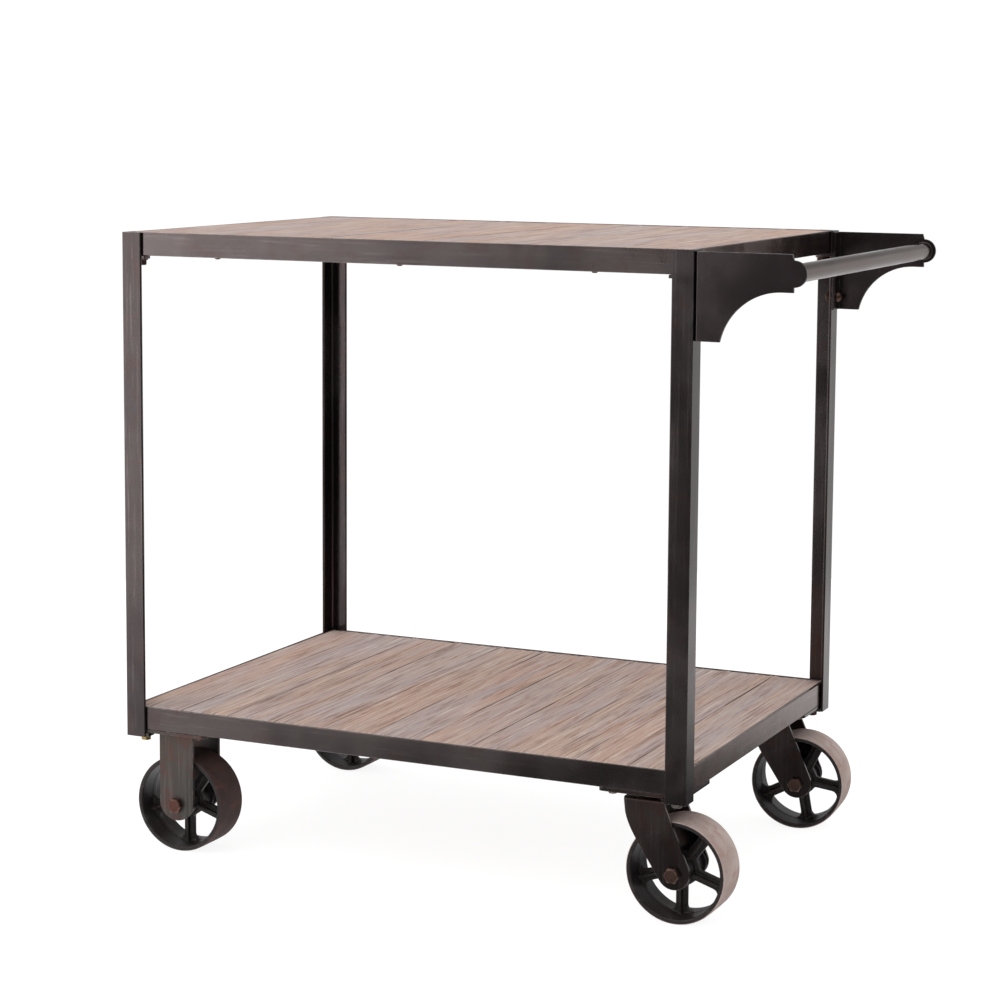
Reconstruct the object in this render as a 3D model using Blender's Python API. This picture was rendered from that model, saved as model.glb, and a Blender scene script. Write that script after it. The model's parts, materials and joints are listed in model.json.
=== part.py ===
"""Two-deck bar cart on cast wheels.

Four angle-iron posts carry two angle-iron deck frames filled with cross planks.
A tube handle sits between two bracket plates at the right end. The left pair of
wheels runs in rigid forks and the right pair in swivel forks that trail outwards.

Metres, +Z up, +X towards the handle, -Y towards the front. The origin is on the
floor, under the middle of the whole cart with its handle.
"""

import math

import bmesh
import bpy
from mathutils import Matrix

# Overall sizes
FRAME_LENGTH = 0.849
FRAME_DEPTH = 0.606
TOP_HEIGHT = 0.884
LOWER_DECK_CLEARANCE = 0.040
AXLE_HEIGHT = 0.069

# Gap left between pieces that rest on or fit into each other
FIT = 0.0003

# Posts: equal angle with a gusset, one corner cut off, welded under each deck
POST_WIDTH = 0.030
POST_WALL = 0.004
POST_TAIL = 0.0107
GUSSET_SIZE = 0.031
GUSSET_CUT = 0.018
GUSSET_THICKNESS = 0.0045
CORNER_BOLT_INSET = 0.0195

# Deck frames: angle with its foot turned in under the planks
RAIL_HEIGHT = 0.0324
RAIL_FOOT = 0.030
RAIL_WALL = 0.004
PLANK_COUNT = 11
PLANK_GAP = 0.0008
PLANK_EDGE = 0.001

# Handle brackets and bar
BRACKET_SHEET = 0.004
BRACKET_INSET = 0.003
BRACKET_TOP_DROP = 0.002
BRACKET_REACH = 0.130
BRACKET_HEIGHT = 0.1135
BRACKET_LIP = 0.048
BRACKET_LIP_RUN = 0.015
BRACKET_ARC_RADIUS = 0.083
NOSE_RADIUS = 0.017
NOSE_DROP = 0.0245
BAR_RADIUS = 0.012
BAR_WALL = 0.002
BRACKET_BOLT_DROP = 0.095
BRACKET_BOLT_INSET = 0.0165

# Caster plates and forks
CASTER_PLATE_LENGTH = 0.120
CASTER_PLATE_WIDTH = 0.1016
CASTER_PLATE_THICKNESS = 0.0048
FORK_WALL = 0.0045
FORK_BRIDGE = 0.0045
RIGID_FORK_WIDTH = 0.055
RIGID_FORK_SETBACK = 0.006
RIGID_END_RISE = 0.005
SWIVEL_TRAIL = 0.041
SWIVEL_FORK_WIDTH = 0.058
SWIVEL_SHOULDER_DROP = 0.032
SWIVEL_SHOULDER_STEP = 0.007
SWIVEL_BROW_DROP = 0.009
SWIVEL_END_RADIUS = 0.023
SWIVEL_YAW = {"front": 0.0, "back": math.radians(4.5)}
RACE_RADIUS = 0.026
RACE_HEIGHT = 0.0065
RUNNING_GAP = 0.0005
KINGPIN_RADIUS = 0.006
KINGPIN_HEAD_RADIUS = 0.010
KINGPIN_TOP_HEAD = 0.003
KINGPIN_FOOT = 0.007
KINGPIN_FOOT_SHOULDER = 0.7
RIVET_CROWN = 0.8

# Wheels
WHEEL_WIDTH = 0.061
WHEEL_SEGMENTS = 40
RIM_WALL = 0.007
RIM_CHAMFER = 0.0015
RIM_CROWN = 0.002
HUB_LENGTH = 0.064
HUB_RADIUS = 0.016
HUB_SWELL = 0.003
HUB_SIDE_GAP = 0.001
SPOKE_COUNT = 5
SPOKE_WIDTH = 0.011
SPOKE_DEPTH = 0.024
SPOKE_PHASE = {"back_right": math.radians(10)}

# Fasteners
BOLT_CLEARANCE = 0.0003
AXLE_RADIUS = 0.006
AXLE_BORE_GAP = 0.0005
AXLE_HEAD_APOTHEM = 0.0095
AXLE_HEAD = 0.0075
AXLE_NUT = 0.010
AXLE_END = 0.003
CORNER_BOLT_RADIUS = 0.004
CORNER_HEAD_APOTHEM = 0.0065
CORNER_HEAD = 0.007
CORNER_FLANGE_RADIUS = 0.0088
CORNER_FLANGE = 0.0018
BRACKET_BOLT_RADIUS = 0.004
BRACKET_DOME_RADIUS = 0.0075
BRACKET_DOME = 0.008
BRACKET_NUT_APOTHEM = 0.0065
BRACKET_NUT = 0.0065
BRACKET_BOLT_END = 0.002
HEX_FACE = 0.9
HEX_CHAMFER = 0.12
SHANK_POINT = 0.2
DOME_RINGS = (25, 50, 75)

# Shop values: weld overlap, drill length either way, how finely round work is faceted
WELD = 0.001
DRILL_REACH = 0.02
HOLE_SEGMENTS = 12
PIN_SEGMENTS = 16
HUB_SEGMENTS = 20
RACE_SEGMENTS = 24
BAR_SEGMENTS = 28
ARC_STEPS = 10
SHARP_ANGLE = math.radians(32)

# Worked out from the sizes above; the lower deck rides a clearance above the wheels
LOWER_DECK_UNDERSIDE = 2 * AXLE_HEIGHT + LOWER_DECK_CLEARANCE
TOTAL_LENGTH = FRAME_LENGTH + FIT + BRACKET_REACH + NOSE_RADIUS
LEFT_FACE = -TOTAL_LENGTH / 2
RIGHT_FACE = LEFT_FACE + FRAME_LENGTH
FRAME_MIDDLE = (LEFT_FACE + RIGHT_FACE) / 2
HALF_DEPTH = FRAME_DEPTH / 2
FRAME_INSET = POST_WALL + FIT
POST_BOTTOM = LOWER_DECK_UNDERSIDE - POST_TAIL
DECKS = {"lower": LOWER_DECK_UNDERSIDE, "top": TOP_HEIGHT - RAIL_HEIGHT}
CASTER_PLATE_TOP = LOWER_DECK_UNDERSIDE - FIT
CASTER_PLATE_UNDERSIDE = CASTER_PLATE_TOP - CASTER_PLATE_THICKNESS
GUSSET_TOPS = {"lower": CASTER_PLATE_UNDERSIDE - FIT, "top": DECKS["top"] - FIT}
CASTER_X_INSET = FRAME_INSET + CASTER_PLATE_LENGTH / 2
CASTER_Y_INSET = FRAME_INSET + CASTER_PLATE_WIDTH / 2
PLATE_HOLE_INSET = CORNER_BOLT_INSET - FRAME_INSET
FORK_INNER = HUB_LENGTH / 2 + HUB_SIDE_GAP
FORK_OUTER = FORK_INNER + FORK_WALL
FORK_BRIDGE_TOP = CASTER_PLATE_UNDERSIDE - RACE_HEIGHT - RUNNING_GAP
HANDLE_X = RIGHT_FACE + FIT + BRACKET_REACH
BRACKET_TOP = TOP_HEIGHT - BRACKET_TOP_DROP

ENDS = {"left": (LEFT_FACE, 1), "right": (RIGHT_FACE, -1)}
SIDES = {"front": (-HALF_DEPTH, 1), "back": (HALF_DEPTH, -1)}


# Materials

def finish(name, colour, roughness, metallic):
    """Return a material with one Principled surface."""
    material = bpy.data.materials.new(name)
    material.use_nodes = True
    shader = material.node_tree.nodes["Principled BSDF"]
    shader.inputs["Base Color"].default_value = (*colour, 1.0)
    shader.inputs["Roughness"].default_value = roughness
    shader.inputs["Metallic"].default_value = metallic
    material.diffuse_color = (*colour, 1.0)
    return material


# Shapes

def polygon_prism(points, low, high, axis="Z"):
    """Extrude a polygon from low to high along Z, or an XZ polygon along Y."""
    bm = bmesh.new()
    if axis == "Z":
        corners = [(u, v, low) for u, v in points]
        step = (0, 0, high - low)
    else:
        corners = [(u, low, v) for u, v in points]
        step = (0, high - low, 0)
    face = bm.faces.new([bm.verts.new(corner) for corner in corners])
    grown = bmesh.ops.extrude_face_region(bm, geom=[face])
    moved = [item for item in grown["geom"] if isinstance(item, bmesh.types.BMVert)]
    bmesh.ops.translate(bm, verts=moved, vec=step)
    bmesh.ops.recalc_face_normals(bm, faces=bm.faces)
    return bm


def box(low, high):
    """Return a box between two opposite corners."""
    outline = [(low[0], low[1]), (high[0], low[1]), (high[0], high[1]), (low[0], high[1])]
    return polygon_prism(outline, low[2], high[2])


def ring_points(radius, height, segments, axis, hexagonal=False, offset=0.0):
    """Return one ring of points around an axis, round or with six flats."""
    points = []
    for step in range(segments):
        angle = 2 * math.pi * (step + offset) / segments
        reach = radius
        if hexagonal:
            reach = radius / math.cos(angle % math.radians(60) - math.radians(30))
        across = reach * math.sin(angle)
        down = -reach * math.cos(angle)
        points.append({
            "X": (height, across, down),
            "Y": (across, height, down),
            "Z": (across, down, height),
        }[axis])
    return points


def turned(rings, segments, axis, hollow=False, offset=0.0):
    """Skin rings of (radius, height, six-sided or not) into a closed turned body.

    An offset of half a step turns a flat facet to the bottom.
    """
    bm = bmesh.new()
    loops = []
    for radius, height, hexagonal in rings:
        points = ring_points(radius, height, segments, axis, hexagonal, offset)
        loops.append([bm.verts.new(point) for point in points])
    pairs = list(zip(loops, loops[1:]))
    if hollow:
        pairs.append((loops[-1], loops[0]))
    else:
        bm.faces.new(loops[0])
        bm.faces.new(loops[-1])
    for first, second in pairs:
        for step in range(segments):
            after = (step + 1) % segments
            bm.faces.new((first[step], first[after], second[after], second[step]))
    bmesh.ops.recalc_face_normals(bm, faces=bm.faces)
    return bm


def drill(radius, centre, axis, reach=DRILL_REACH, segments=HOLE_SEGMENTS):
    """Return a round cutter that reaches both ways from the middle of a hole."""
    cutter = turned([(radius, -reach, False), (radius, reach, False)], segments, axis)
    bmesh.ops.translate(cutter, verts=cutter.verts, vec=centre)
    return cutter


def arc(centre, radius, start, end, steps):
    """Return points on an arc, with angles in degrees."""
    points = []
    for step in range(steps + 1):
        angle = math.radians(start + (end - start) * step / steps)
        points.append((centre[0] + radius * math.cos(angle), centre[1] + radius * math.sin(angle)))
    return points


# Objects

def place(name, bm, material, location=(0, 0, 0), parent=None):
    """Turn a bmesh into a named object with one material."""
    mesh = bpy.data.meshes.new(name)
    bm.to_mesh(mesh)
    bm.free()
    mesh.materials.append(material)
    mesh.shade_smooth()
    mesh.set_sharp_from_angle(angle=SHARP_ANGLE)
    item = bpy.data.objects.new(name, mesh)
    item.location = location
    item.parent = parent
    bpy.context.collection.objects.link(item)
    return item


def combine(item, shapes, operation):
    """Join shapes to an object, or cut them out of it, in the object's own axes."""
    tools = []
    for number, shape in enumerate(shapes):
        mesh = bpy.data.meshes.new("tool")
        shape.to_mesh(mesh)
        shape.free()
        tool = bpy.data.objects.new(f"{item.name}_tool_{number}", mesh)
        bpy.context.collection.objects.link(tool)
        bpy.context.view_layer.update()
        tool.matrix_world = item.matrix_world
        modifier = item.modifiers.new("combine", "BOOLEAN")
        modifier.operation = operation
        modifier.object = tool
        tools.append(tool)
    bpy.context.view_layer.update()
    graph = bpy.context.evaluated_depsgraph_get()
    result = bpy.data.meshes.new_from_object(item.evaluated_get(graph))
    item.modifiers.clear()
    item.data = result
    result.name = item.name
    for tool in tools:
        bpy.data.objects.remove(tool)


def join(item, *shapes):
    """Weld shapes on."""
    combine(item, shapes, "UNION")


def cut(item, *shapes):
    """Cut shapes out."""
    combine(item, shapes, "DIFFERENCE")


def pivot(name, location, yaw=0.0, parent=None):
    """Return an empty on a joint's axis."""
    empty = bpy.data.objects.new(name, None)
    empty.location = location
    empty.rotation_euler = (0, 0, yaw)
    empty.parent = parent
    empty.empty_display_size = 0.03
    bpy.context.collection.objects.link(empty)
    bpy.context.view_layer.update()
    return empty


# Frame

def build_post(end, side, material):
    """Angle post with a gusset under each deck, drilled for the corner bolts."""
    corner_x, inward_x = ENDS[end]
    corner_y, inward_y = SIDES[side]

    def from_corner(u, v):
        return corner_x + inward_x * u, corner_y + inward_y * v

    outline = [(0, 0), (POST_WIDTH, 0), (POST_WIDTH, POST_WALL), (POST_WALL, POST_WALL)]
    outline += [(POST_WALL, POST_WIDTH), (0, POST_WIDTH)]
    angle = polygon_prism([from_corner(u, v) for u, v in outline], POST_BOTTOM, TOP_HEIGHT)
    post = place(f"post_{side}_{end}", angle, material)

    root = POST_WALL / 2
    far = POST_WALL + GUSSET_SIZE
    plate = [(root, root), (far, root), (far, far - GUSSET_CUT), (far - GUSSET_CUT, far), (root, far)]
    plate = [from_corner(u, v) for u, v in plate]
    for top in GUSSET_TOPS.values():
        join(post, polygon_prism(plate, top - GUSSET_THICKNESS, top))

    bolt_x, bolt_y = from_corner(CORNER_BOLT_INSET, CORNER_BOLT_INSET)
    for top in GUSSET_TOPS.values():
        cut(post, drill(CORNER_BOLT_RADIUS + BOLT_CLEARANCE, (bolt_x, bolt_y, top), "Z"))
    if end == "right":
        cut(post, bracket_bolt_hole(side, corner_x))
    return post


def bracket_bolt_hole(side, x):
    """Cutter for the bolt that holds a bracket to its post."""
    face_y, inward = SIDES[side]
    centre = (x, face_y + inward * BRACKET_BOLT_INSET, BRACKET_TOP - BRACKET_BOLT_DROP)
    return drill(BRACKET_BOLT_RADIUS + BOLT_CLEARANCE, centre, "X")


def build_deck_frame(deck, material):
    """Welded rectangle of angle with mitred corners and a hole in each corner of its foot."""
    low = DECKS[deck]
    half_x = FRAME_LENGTH / 2 - FRAME_INSET
    half_y = HALF_DEPTH - FRAME_INSET
    section = [(0, 0), (RAIL_FOOT, 0), (RAIL_FOOT, RAIL_WALL), (RAIL_WALL, RAIL_WALL)]
    section += [(RAIL_WALL, RAIL_HEIGHT), (0, RAIL_HEIGHT)]
    bm = bmesh.new()
    loops = []
    for inset, height in section:
        x, y, z = half_x - inset, half_y - inset, low + height
        corners = ((-x, -y, z), (x, -y, z), (x, y, z), (-x, y, z))
        loops.append([bm.verts.new(corner) for corner in corners])
    for first, second in zip(loops, loops[1:] + loops[:1]):
        for step in range(4):
            after = (step + 1) % 4
            bm.faces.new((first[step], first[after], second[after], second[step]))
    bmesh.ops.recalc_face_normals(bm, faces=bm.faces)
    bmesh.ops.translate(bm, verts=bm.verts, vec=(FRAME_MIDDLE, 0, 0))
    frame = place(f"{deck}_deck_frame", bm, material)
    for corner_x, inward_x in ENDS.values():
        for corner_y, inward_y in SIDES.values():
            x = corner_x + inward_x * CORNER_BOLT_INSET
            y = corner_y + inward_y * CORNER_BOLT_INSET
            cut(frame, drill(CORNER_BOLT_RADIUS + BOLT_CLEARANCE, (x, y, low), "Z"))
    return frame


def build_planks(deck, material):
    """Equal planks across the depth, resting on the frame's foot."""
    margin = FRAME_INSET + RAIL_WALL + FIT
    low = DECKS[deck] + RAIL_WALL + FIT
    high = DECKS[deck] + RAIL_HEIGHT
    pitch = (FRAME_LENGTH - 2 * margin + PLANK_GAP) / PLANK_COUNT
    half_width = (pitch - PLANK_GAP) / 2
    half_length = HALF_DEPTH - margin
    for number in range(PLANK_COUNT):
        bm = box((-half_width, -half_length, low - high), (half_width, half_length, 0))
        upper = [edge for edge in bm.edges if all(vert.co.z > -PLANK_EDGE for vert in edge.verts)]
        bmesh.ops.bevel(bm, geom=upper, offset=PLANK_EDGE, segments=1, affect="EDGES")
        x = LEFT_FACE + margin + half_width + number * pitch
        place(f"{deck}_plank_{number + 1:02d}", bm, material, (x, 0, high))


# Handle

def bracket_outline():
    """Side view of a handle bracket: reach from the post, height below its top edge."""
    nose_x = BRACKET_REACH
    points = [(0, 0), (nose_x, 0)]
    points += arc((nose_x, -NOSE_DROP), NOSE_RADIUS, 90, -90, ARC_STEPS)
    points += [(nose_x, -BRACKET_LIP)]
    arc_x = nose_x - BRACKET_LIP_RUN
    centre = (arc_x, -BRACKET_LIP - BRACKET_ARC_RADIUS)
    drop = (BRACKET_HEIGHT - BRACKET_LIP) / BRACKET_ARC_RADIUS
    sweep = math.degrees(math.acos(1 - drop))
    points += arc(centre, BRACKET_ARC_RADIUS, 90, 90 + sweep, ARC_STEPS)
    points += [(0, -BRACKET_HEIGHT)]
    return points


def build_bracket(side, material):
    """Plate bracket with a flange turned in against the post's end face."""
    face_y, inward = SIDES[side]
    outer = face_y + inward * BRACKET_INSET
    inner = outer + inward * BRACKET_SHEET
    edge = face_y + inward * POST_WIDTH
    origin_x = RIGHT_FACE + FIT
    outline = [(origin_x + x, BRACKET_TOP + z) for x, z in bracket_outline()]
    plate = polygon_prism(outline, min(outer, inner), max(outer, inner), "Y")
    bracket = place(f"handle_bracket_{side}", plate, material)
    middle = (outer + inner) / 2
    low = (origin_x, min(middle, edge), BRACKET_TOP - BRACKET_HEIGHT)
    high = (origin_x + BRACKET_SHEET, max(middle, edge), BRACKET_TOP)
    join(bracket, box(low, high))
    cut(bracket, bracket_bolt_hole(side, origin_x))
    return bracket


def build_handle_bar(material):
    """Open tube between the bracket noses."""
    end = HALF_DEPTH - BRACKET_INSET - BRACKET_SHEET - FIT
    bore = BAR_RADIUS - BAR_WALL
    rings = [(bore, -end, False), (BAR_RADIUS, -end, False)]
    rings += [(BAR_RADIUS, end, False), (bore, end, False)]
    tube = turned(rings, BAR_SEGMENTS, "Y", hollow=True)
    return place("handle_bar", tube, material, (HANDLE_X, 0, BRACKET_TOP - NOSE_DROP))


# Fasteners

def hex_bolt(radius, apothem, head, length, axis, flange=None):
    """Bolt with its head below zero and its shank from zero to its length.

    A flange is given as (radius, thickness) and lies under the head.
    """
    base = flange[1] if flange else 0.0
    chamfer = apothem * HEX_CHAMFER
    point = radius * SHANK_POINT
    rings = [(apothem * HEX_FACE, -base - head, False), (apothem, -base - head + chamfer, True)]
    rings += [(apothem, -base, True)]
    if flange:
        rings += [(flange[0], -base, False), (flange[0], 0.0, False)]
    rings += [(radius, 0.0, False), (radius, length - point, False), (radius - point, length, False)]
    return turned(rings, HOLE_SEGMENTS, axis)


def hex_nut(bore, apothem, height, axis):
    """Nut from zero to its height."""
    chamfer = apothem * HEX_CHAMFER
    face = apothem * HEX_FACE
    rings = [(bore, 0.0, False), (face, 0.0, False), (apothem, chamfer, True)]
    rings += [(apothem, height - chamfer, True), (face, height, False), (bore, height, False)]
    return turned(rings, HOLE_SEGMENTS, axis, hollow=True)


def build_corner_bolts(material):
    """Bolts that clamp post gusset, caster plate and lower deck frame together."""
    seat = GUSSET_TOPS["lower"] - GUSSET_THICKNESS - FIT
    length = LOWER_DECK_UNDERSIDE + RAIL_WALL - FIT - seat
    flange = (CORNER_FLANGE_RADIUS, CORNER_FLANGE)
    for end, (corner_x, inward_x) in ENDS.items():
        for side, (corner_y, inward_y) in SIDES.items():
            bolt = hex_bolt(
                CORNER_BOLT_RADIUS, CORNER_HEAD_APOTHEM, CORNER_HEAD, length, "Z", flange)
            x = corner_x + inward_x * CORNER_BOLT_INSET
            y = corner_y + inward_y * CORNER_BOLT_INSET
            place(f"corner_bolt_{side}_{end}", bolt, material, (x, y, seat))


def build_bracket_fasteners(side, material):
    """Dome-headed bolt and nut that hold a bracket to its post."""
    face_y, inward = SIDES[side]
    y = face_y + inward * BRACKET_BOLT_INSET
    z = BRACKET_TOP - BRACKET_BOLT_DROP
    seat = RIGHT_FACE + 2 * FIT + BRACKET_SHEET
    nut_face = RIGHT_FACE - POST_WALL - FIT
    tip = nut_face - BRACKET_NUT - BRACKET_BOLT_END - seat
    radius = BRACKET_BOLT_RADIUS
    point = radius * SHANK_POINT
    rings = [(radius - point, tip, False), (radius, tip + point, False), (radius, 0.0, False)]
    rings += [(BRACKET_DOME_RADIUS, 0.0, False)]
    for tilt in DOME_RINGS:
        angle = math.radians(tilt)
        rings.append((BRACKET_DOME_RADIUS * math.cos(angle), BRACKET_DOME * math.sin(angle), False))
    bolt = turned(rings, PIN_SEGMENTS, "X")
    place(f"bracket_bolt_{side}", bolt, material, (seat, y, z))
    nut = hex_nut(BRACKET_BOLT_RADIUS + BOLT_CLEARANCE, BRACKET_NUT_APOTHEM, BRACKET_NUT, "X")
    place(f"bracket_nut_{side}", nut, material, (nut_face - BRACKET_NUT, y, z))


# Casters

def plate_holes():
    """Cutters for the four bolt holes near the corners of a caster plate."""
    reach_x = CASTER_PLATE_LENGTH / 2 - PLATE_HOLE_INSET
    reach_y = CASTER_PLATE_WIDTH / 2 - PLATE_HOLE_INSET
    radius = CORNER_BOLT_RADIUS + BOLT_CLEARANCE
    return [drill(radius, (x, y, 0), "Z") for x in (-reach_x, reach_x) for y in (-reach_y, reach_y)]


def between_legs():
    """Cutter for the space between a fork's two legs, under its bridge."""
    reach = CASTER_PLATE_LENGTH
    return box((-reach, -FORK_INNER, -CASTER_PLATE_TOP), (reach, FORK_INNER, -FORK_BRIDGE))


def axle_bore(x, z):
    """Cutter for the axle through both legs of a fork."""
    return drill(AXLE_RADIUS + BOLT_CLEARANCE, (x, 0, z), "Y", 2 * FORK_OUTER, PIN_SEGMENTS)


def plate_shape():
    """Caster plate about its own middle, with its underside at zero."""
    half_x, half_y = CASTER_PLATE_LENGTH / 2, CASTER_PLATE_WIDTH / 2
    return box((-half_x, -half_y, 0), (half_x, half_y, CASTER_PLATE_THICKNESS))


def build_rigid_fork(name, base, material):
    """Plate and straight two-legged fork in one welded piece, inboard of the plate's middle."""
    fork = place(name, plate_shape(), material, parent=base)
    axle = AXLE_HEIGHT - CASTER_PLATE_UNDERSIDE
    half = RIGID_FORK_WIDTH / 2
    centre = RIGID_FORK_SETBACK
    outline = [(centre + half, WELD), (centre - half, WELD)]
    outline += arc((centre, axle + RIGID_END_RISE), half, 180, 360, ARC_STEPS)
    join(fork, polygon_prism(outline, -FORK_OUTER, FORK_OUTER, "Y"))
    cut(fork, between_legs(), axle_bore(centre, axle), *plate_holes())
    return fork


def tangent_angle(point, centre, radius, turn):
    """Angle in degrees at which a line from point touches the circle, on one side of it."""
    run, rise = point[0] - centre[0], point[1] - centre[1]
    spread = math.acos(radius / math.hypot(run, rise))
    return math.degrees(math.atan2(rise, run) + turn * spread)


def swivel_leg_outline():
    """Side view of a trailing fork about its kingpin, with zero at the top of its bridge."""
    half = SWIVEL_FORK_WIDTH / 2
    end = (SWIVEL_TRAIL, AXLE_HEIGHT - FORK_BRIDGE_TOP)
    shoulder = (SWIVEL_SHOULDER_STEP - half, -SWIVEL_SHOULDER_DROP)
    brow = (half, -SWIVEL_BROW_DROP)
    start = tangent_angle(shoulder, end, SWIVEL_END_RADIUS, 1)
    stop = tangent_angle(brow, end, SWIVEL_END_RADIUS, -1) + 360
    points = [brow, (half, 0), (-half, 0), shoulder]
    points += arc(end, SWIVEL_END_RADIUS, start, stop, ARC_STEPS)
    return points


def build_swivel_fork(name, base, material):
    """Trailing fork cut from one channel, bored for kingpin and axle."""
    blank = polygon_prism(swivel_leg_outline(), -FORK_OUTER, FORK_OUTER, "Y")
    fork = place(name, blank, material, parent=base)
    bore = axle_bore(SWIVEL_TRAIL, AXLE_HEIGHT - FORK_BRIDGE_TOP)
    pin_hole = drill(KINGPIN_RADIUS + RUNNING_GAP, (0, 0, 0), "Z", segments=PIN_SEGMENTS)
    cut(fork, between_legs(), bore, pin_hole)
    return fork


def build_swivel_plate(name, base, material):
    """Caster plate with the upper ball race pressed into its underside."""
    plate = place(name, plate_shape(), material, parent=base)
    chamfer = RACE_HEIGHT / 2
    rings = [(RACE_RADIUS, WELD, False), (RACE_RADIUS, -RACE_HEIGHT + chamfer, False)]
    rings += [(RACE_RADIUS - chamfer, -RACE_HEIGHT, False)]
    join(plate, turned(rings, RACE_SEGMENTS, "Z"))
    pin_hole = drill(KINGPIN_RADIUS + BOLT_CLEARANCE, (0, 0, 0), "Z", segments=PIN_SEGMENTS)
    cut(plate, pin_hole, *plate_holes())
    return plate


def build_kingpin(name, base, material):
    """Riveted pin through plate, race and fork bridge, with zero at the plate's underside."""
    top = CASTER_PLATE_THICKNESS + FIT
    foot = -RACE_HEIGHT - RUNNING_GAP - FORK_BRIDGE - RUNNING_GAP
    shoulder = foot - KINGPIN_FOOT * KINGPIN_FOOT_SHOULDER
    crown = KINGPIN_HEAD_RADIUS * RIVET_CROWN
    rings = [(crown, top + KINGPIN_TOP_HEAD, False)]
    rings += [(KINGPIN_HEAD_RADIUS, top, False), (KINGPIN_RADIUS, top, False)]
    rings += [(KINGPIN_RADIUS, foot, False), (KINGPIN_HEAD_RADIUS, foot, False)]
    rings += [(KINGPIN_HEAD_RADIUS, shoulder, False), (crown, foot - KINGPIN_FOOT, False)]
    return place(name, turned(rings, PIN_SEGMENTS, "Z"), material, parent=base)


def build_axle(name, base, location, material):
    """Axle bolt from the front leg to a nut behind the back leg."""
    length = 2 * FORK_OUTER + 2 * FIT + AXLE_NUT + AXLE_END
    bolt = hex_bolt(AXLE_RADIUS, AXLE_HEAD_APOTHEM, AXLE_HEAD, length, "Y")
    x, z = location
    place(f"axle_bolt_{name}", bolt, material, (x, -FORK_OUTER - FIT, z), base)
    nut = hex_nut(AXLE_RADIUS + BOLT_CLEARANCE, AXLE_HEAD_APOTHEM, AXLE_NUT, "Y")
    place(f"axle_nut_{name}", nut, material, (x, FORK_OUTER + FIT, z), base)


def rim_shape(outer, bed):
    """Rim from its outer corner radius to its bed, a flat facet at the bottom."""
    half = WHEEL_WIDTH / 2
    profile = [(bed, -half), (outer - RIM_CHAMFER, -half), (outer, -half + RIM_CHAMFER)]
    profile += [(outer, half - RIM_CHAMFER), (outer - RIM_CHAMFER, half), (bed, half)]
    profile += [(bed - RIM_CROWN, 0)]
    rings = [(radius, y, False) for radius, y in profile]
    return turned(rings, WHEEL_SEGMENTS, "Y", hollow=True, offset=0.5)


def hub_shape(bore):
    """Bored hub, swollen where the spokes meet it."""
    end = HUB_LENGTH / 2
    swell = HUB_RADIUS + HUB_SWELL
    profile = [(bore, -end), (HUB_RADIUS, -end), (swell, -SPOKE_DEPTH / 2)]
    profile += [(swell, SPOKE_DEPTH / 2), (HUB_RADIUS, end), (bore, end)]
    return turned([(radius, y, False) for radius, y in profile], HUB_SEGMENTS, "Y", hollow=True)


def spoke_shape(turn, root, tip):
    """Flat spoke between two radii, turned about the axle from straight down."""
    half_width, half_depth = SPOKE_WIDTH / 2, SPOKE_DEPTH / 2
    spoke = box((-half_width, -half_depth, -tip), (half_width, half_depth, -root))
    bmesh.ops.rotate(spoke, verts=spoke.verts, matrix=Matrix.Rotation(-turn, 3, "Y"))
    return spoke


def build_wheel(name, axle, phase, material):
    """Cast wheel on its axle: wide rim, five spokes and a bored hub."""
    outer = AXLE_HEIGHT / math.cos(math.pi / WHEEL_SEGMENTS)
    bed = outer - RIM_WALL
    bore = AXLE_RADIUS + AXLE_BORE_GAP
    root = (bore + HUB_RADIUS) / 2
    tip = bed + RIM_WALL / 2
    wheel = place(f"wheel_{name}", rim_shape(outer, bed), material, parent=axle)
    turns = [2 * math.pi * number / SPOKE_COUNT + phase for number in range(SPOKE_COUNT)]
    join(wheel, hub_shape(bore), *[spoke_shape(turn, root, tip) for turn in turns])
    return wheel


def build_casters(finishes):
    """Rigid casters at the left end and swivel casters at the right end."""
    for end, (corner_x, inward_x) in ENDS.items():
        for side, (corner_y, inward_y) in SIDES.items():
            x = corner_x + inward_x * CASTER_X_INSET
            y = corner_y + inward_y * CASTER_Y_INSET
            where = f"{side}_{end}"
            mount = pivot(f"mount_{where}", (x, y, CASTER_PLATE_UNDERSIDE))
            if end == "left":
                build_rigid_fork(f"rigid_fork_{where}", mount, finishes["iron"])
                carrier, axle_x, floor = mount, RIGID_FORK_SETBACK, -CASTER_PLATE_UNDERSIDE
            else:
                build_swivel_plate(f"swivel_plate_{where}", mount, finishes["iron"])
                build_kingpin(f"kingpin_{where}", mount, finishes["bolt"])
                carrier = pivot(f"swivel_{where}", (x, y, FORK_BRIDGE_TOP), SWIVEL_YAW[side])
                build_swivel_fork(f"swivel_fork_{where}", carrier, finishes["iron"])
                axle_x, floor = SWIVEL_TRAIL, -FORK_BRIDGE_TOP
            axle_z = floor + AXLE_HEIGHT
            build_axle(where, carrier, (axle_x, axle_z), finishes["bolt"])
            axle = pivot(f"axle_{where}", (axle_x, 0, axle_z), parent=carrier)
            build_wheel(where, axle, SPOKE_PHASE.get(where, 0.0), finishes["wheel"])


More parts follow.
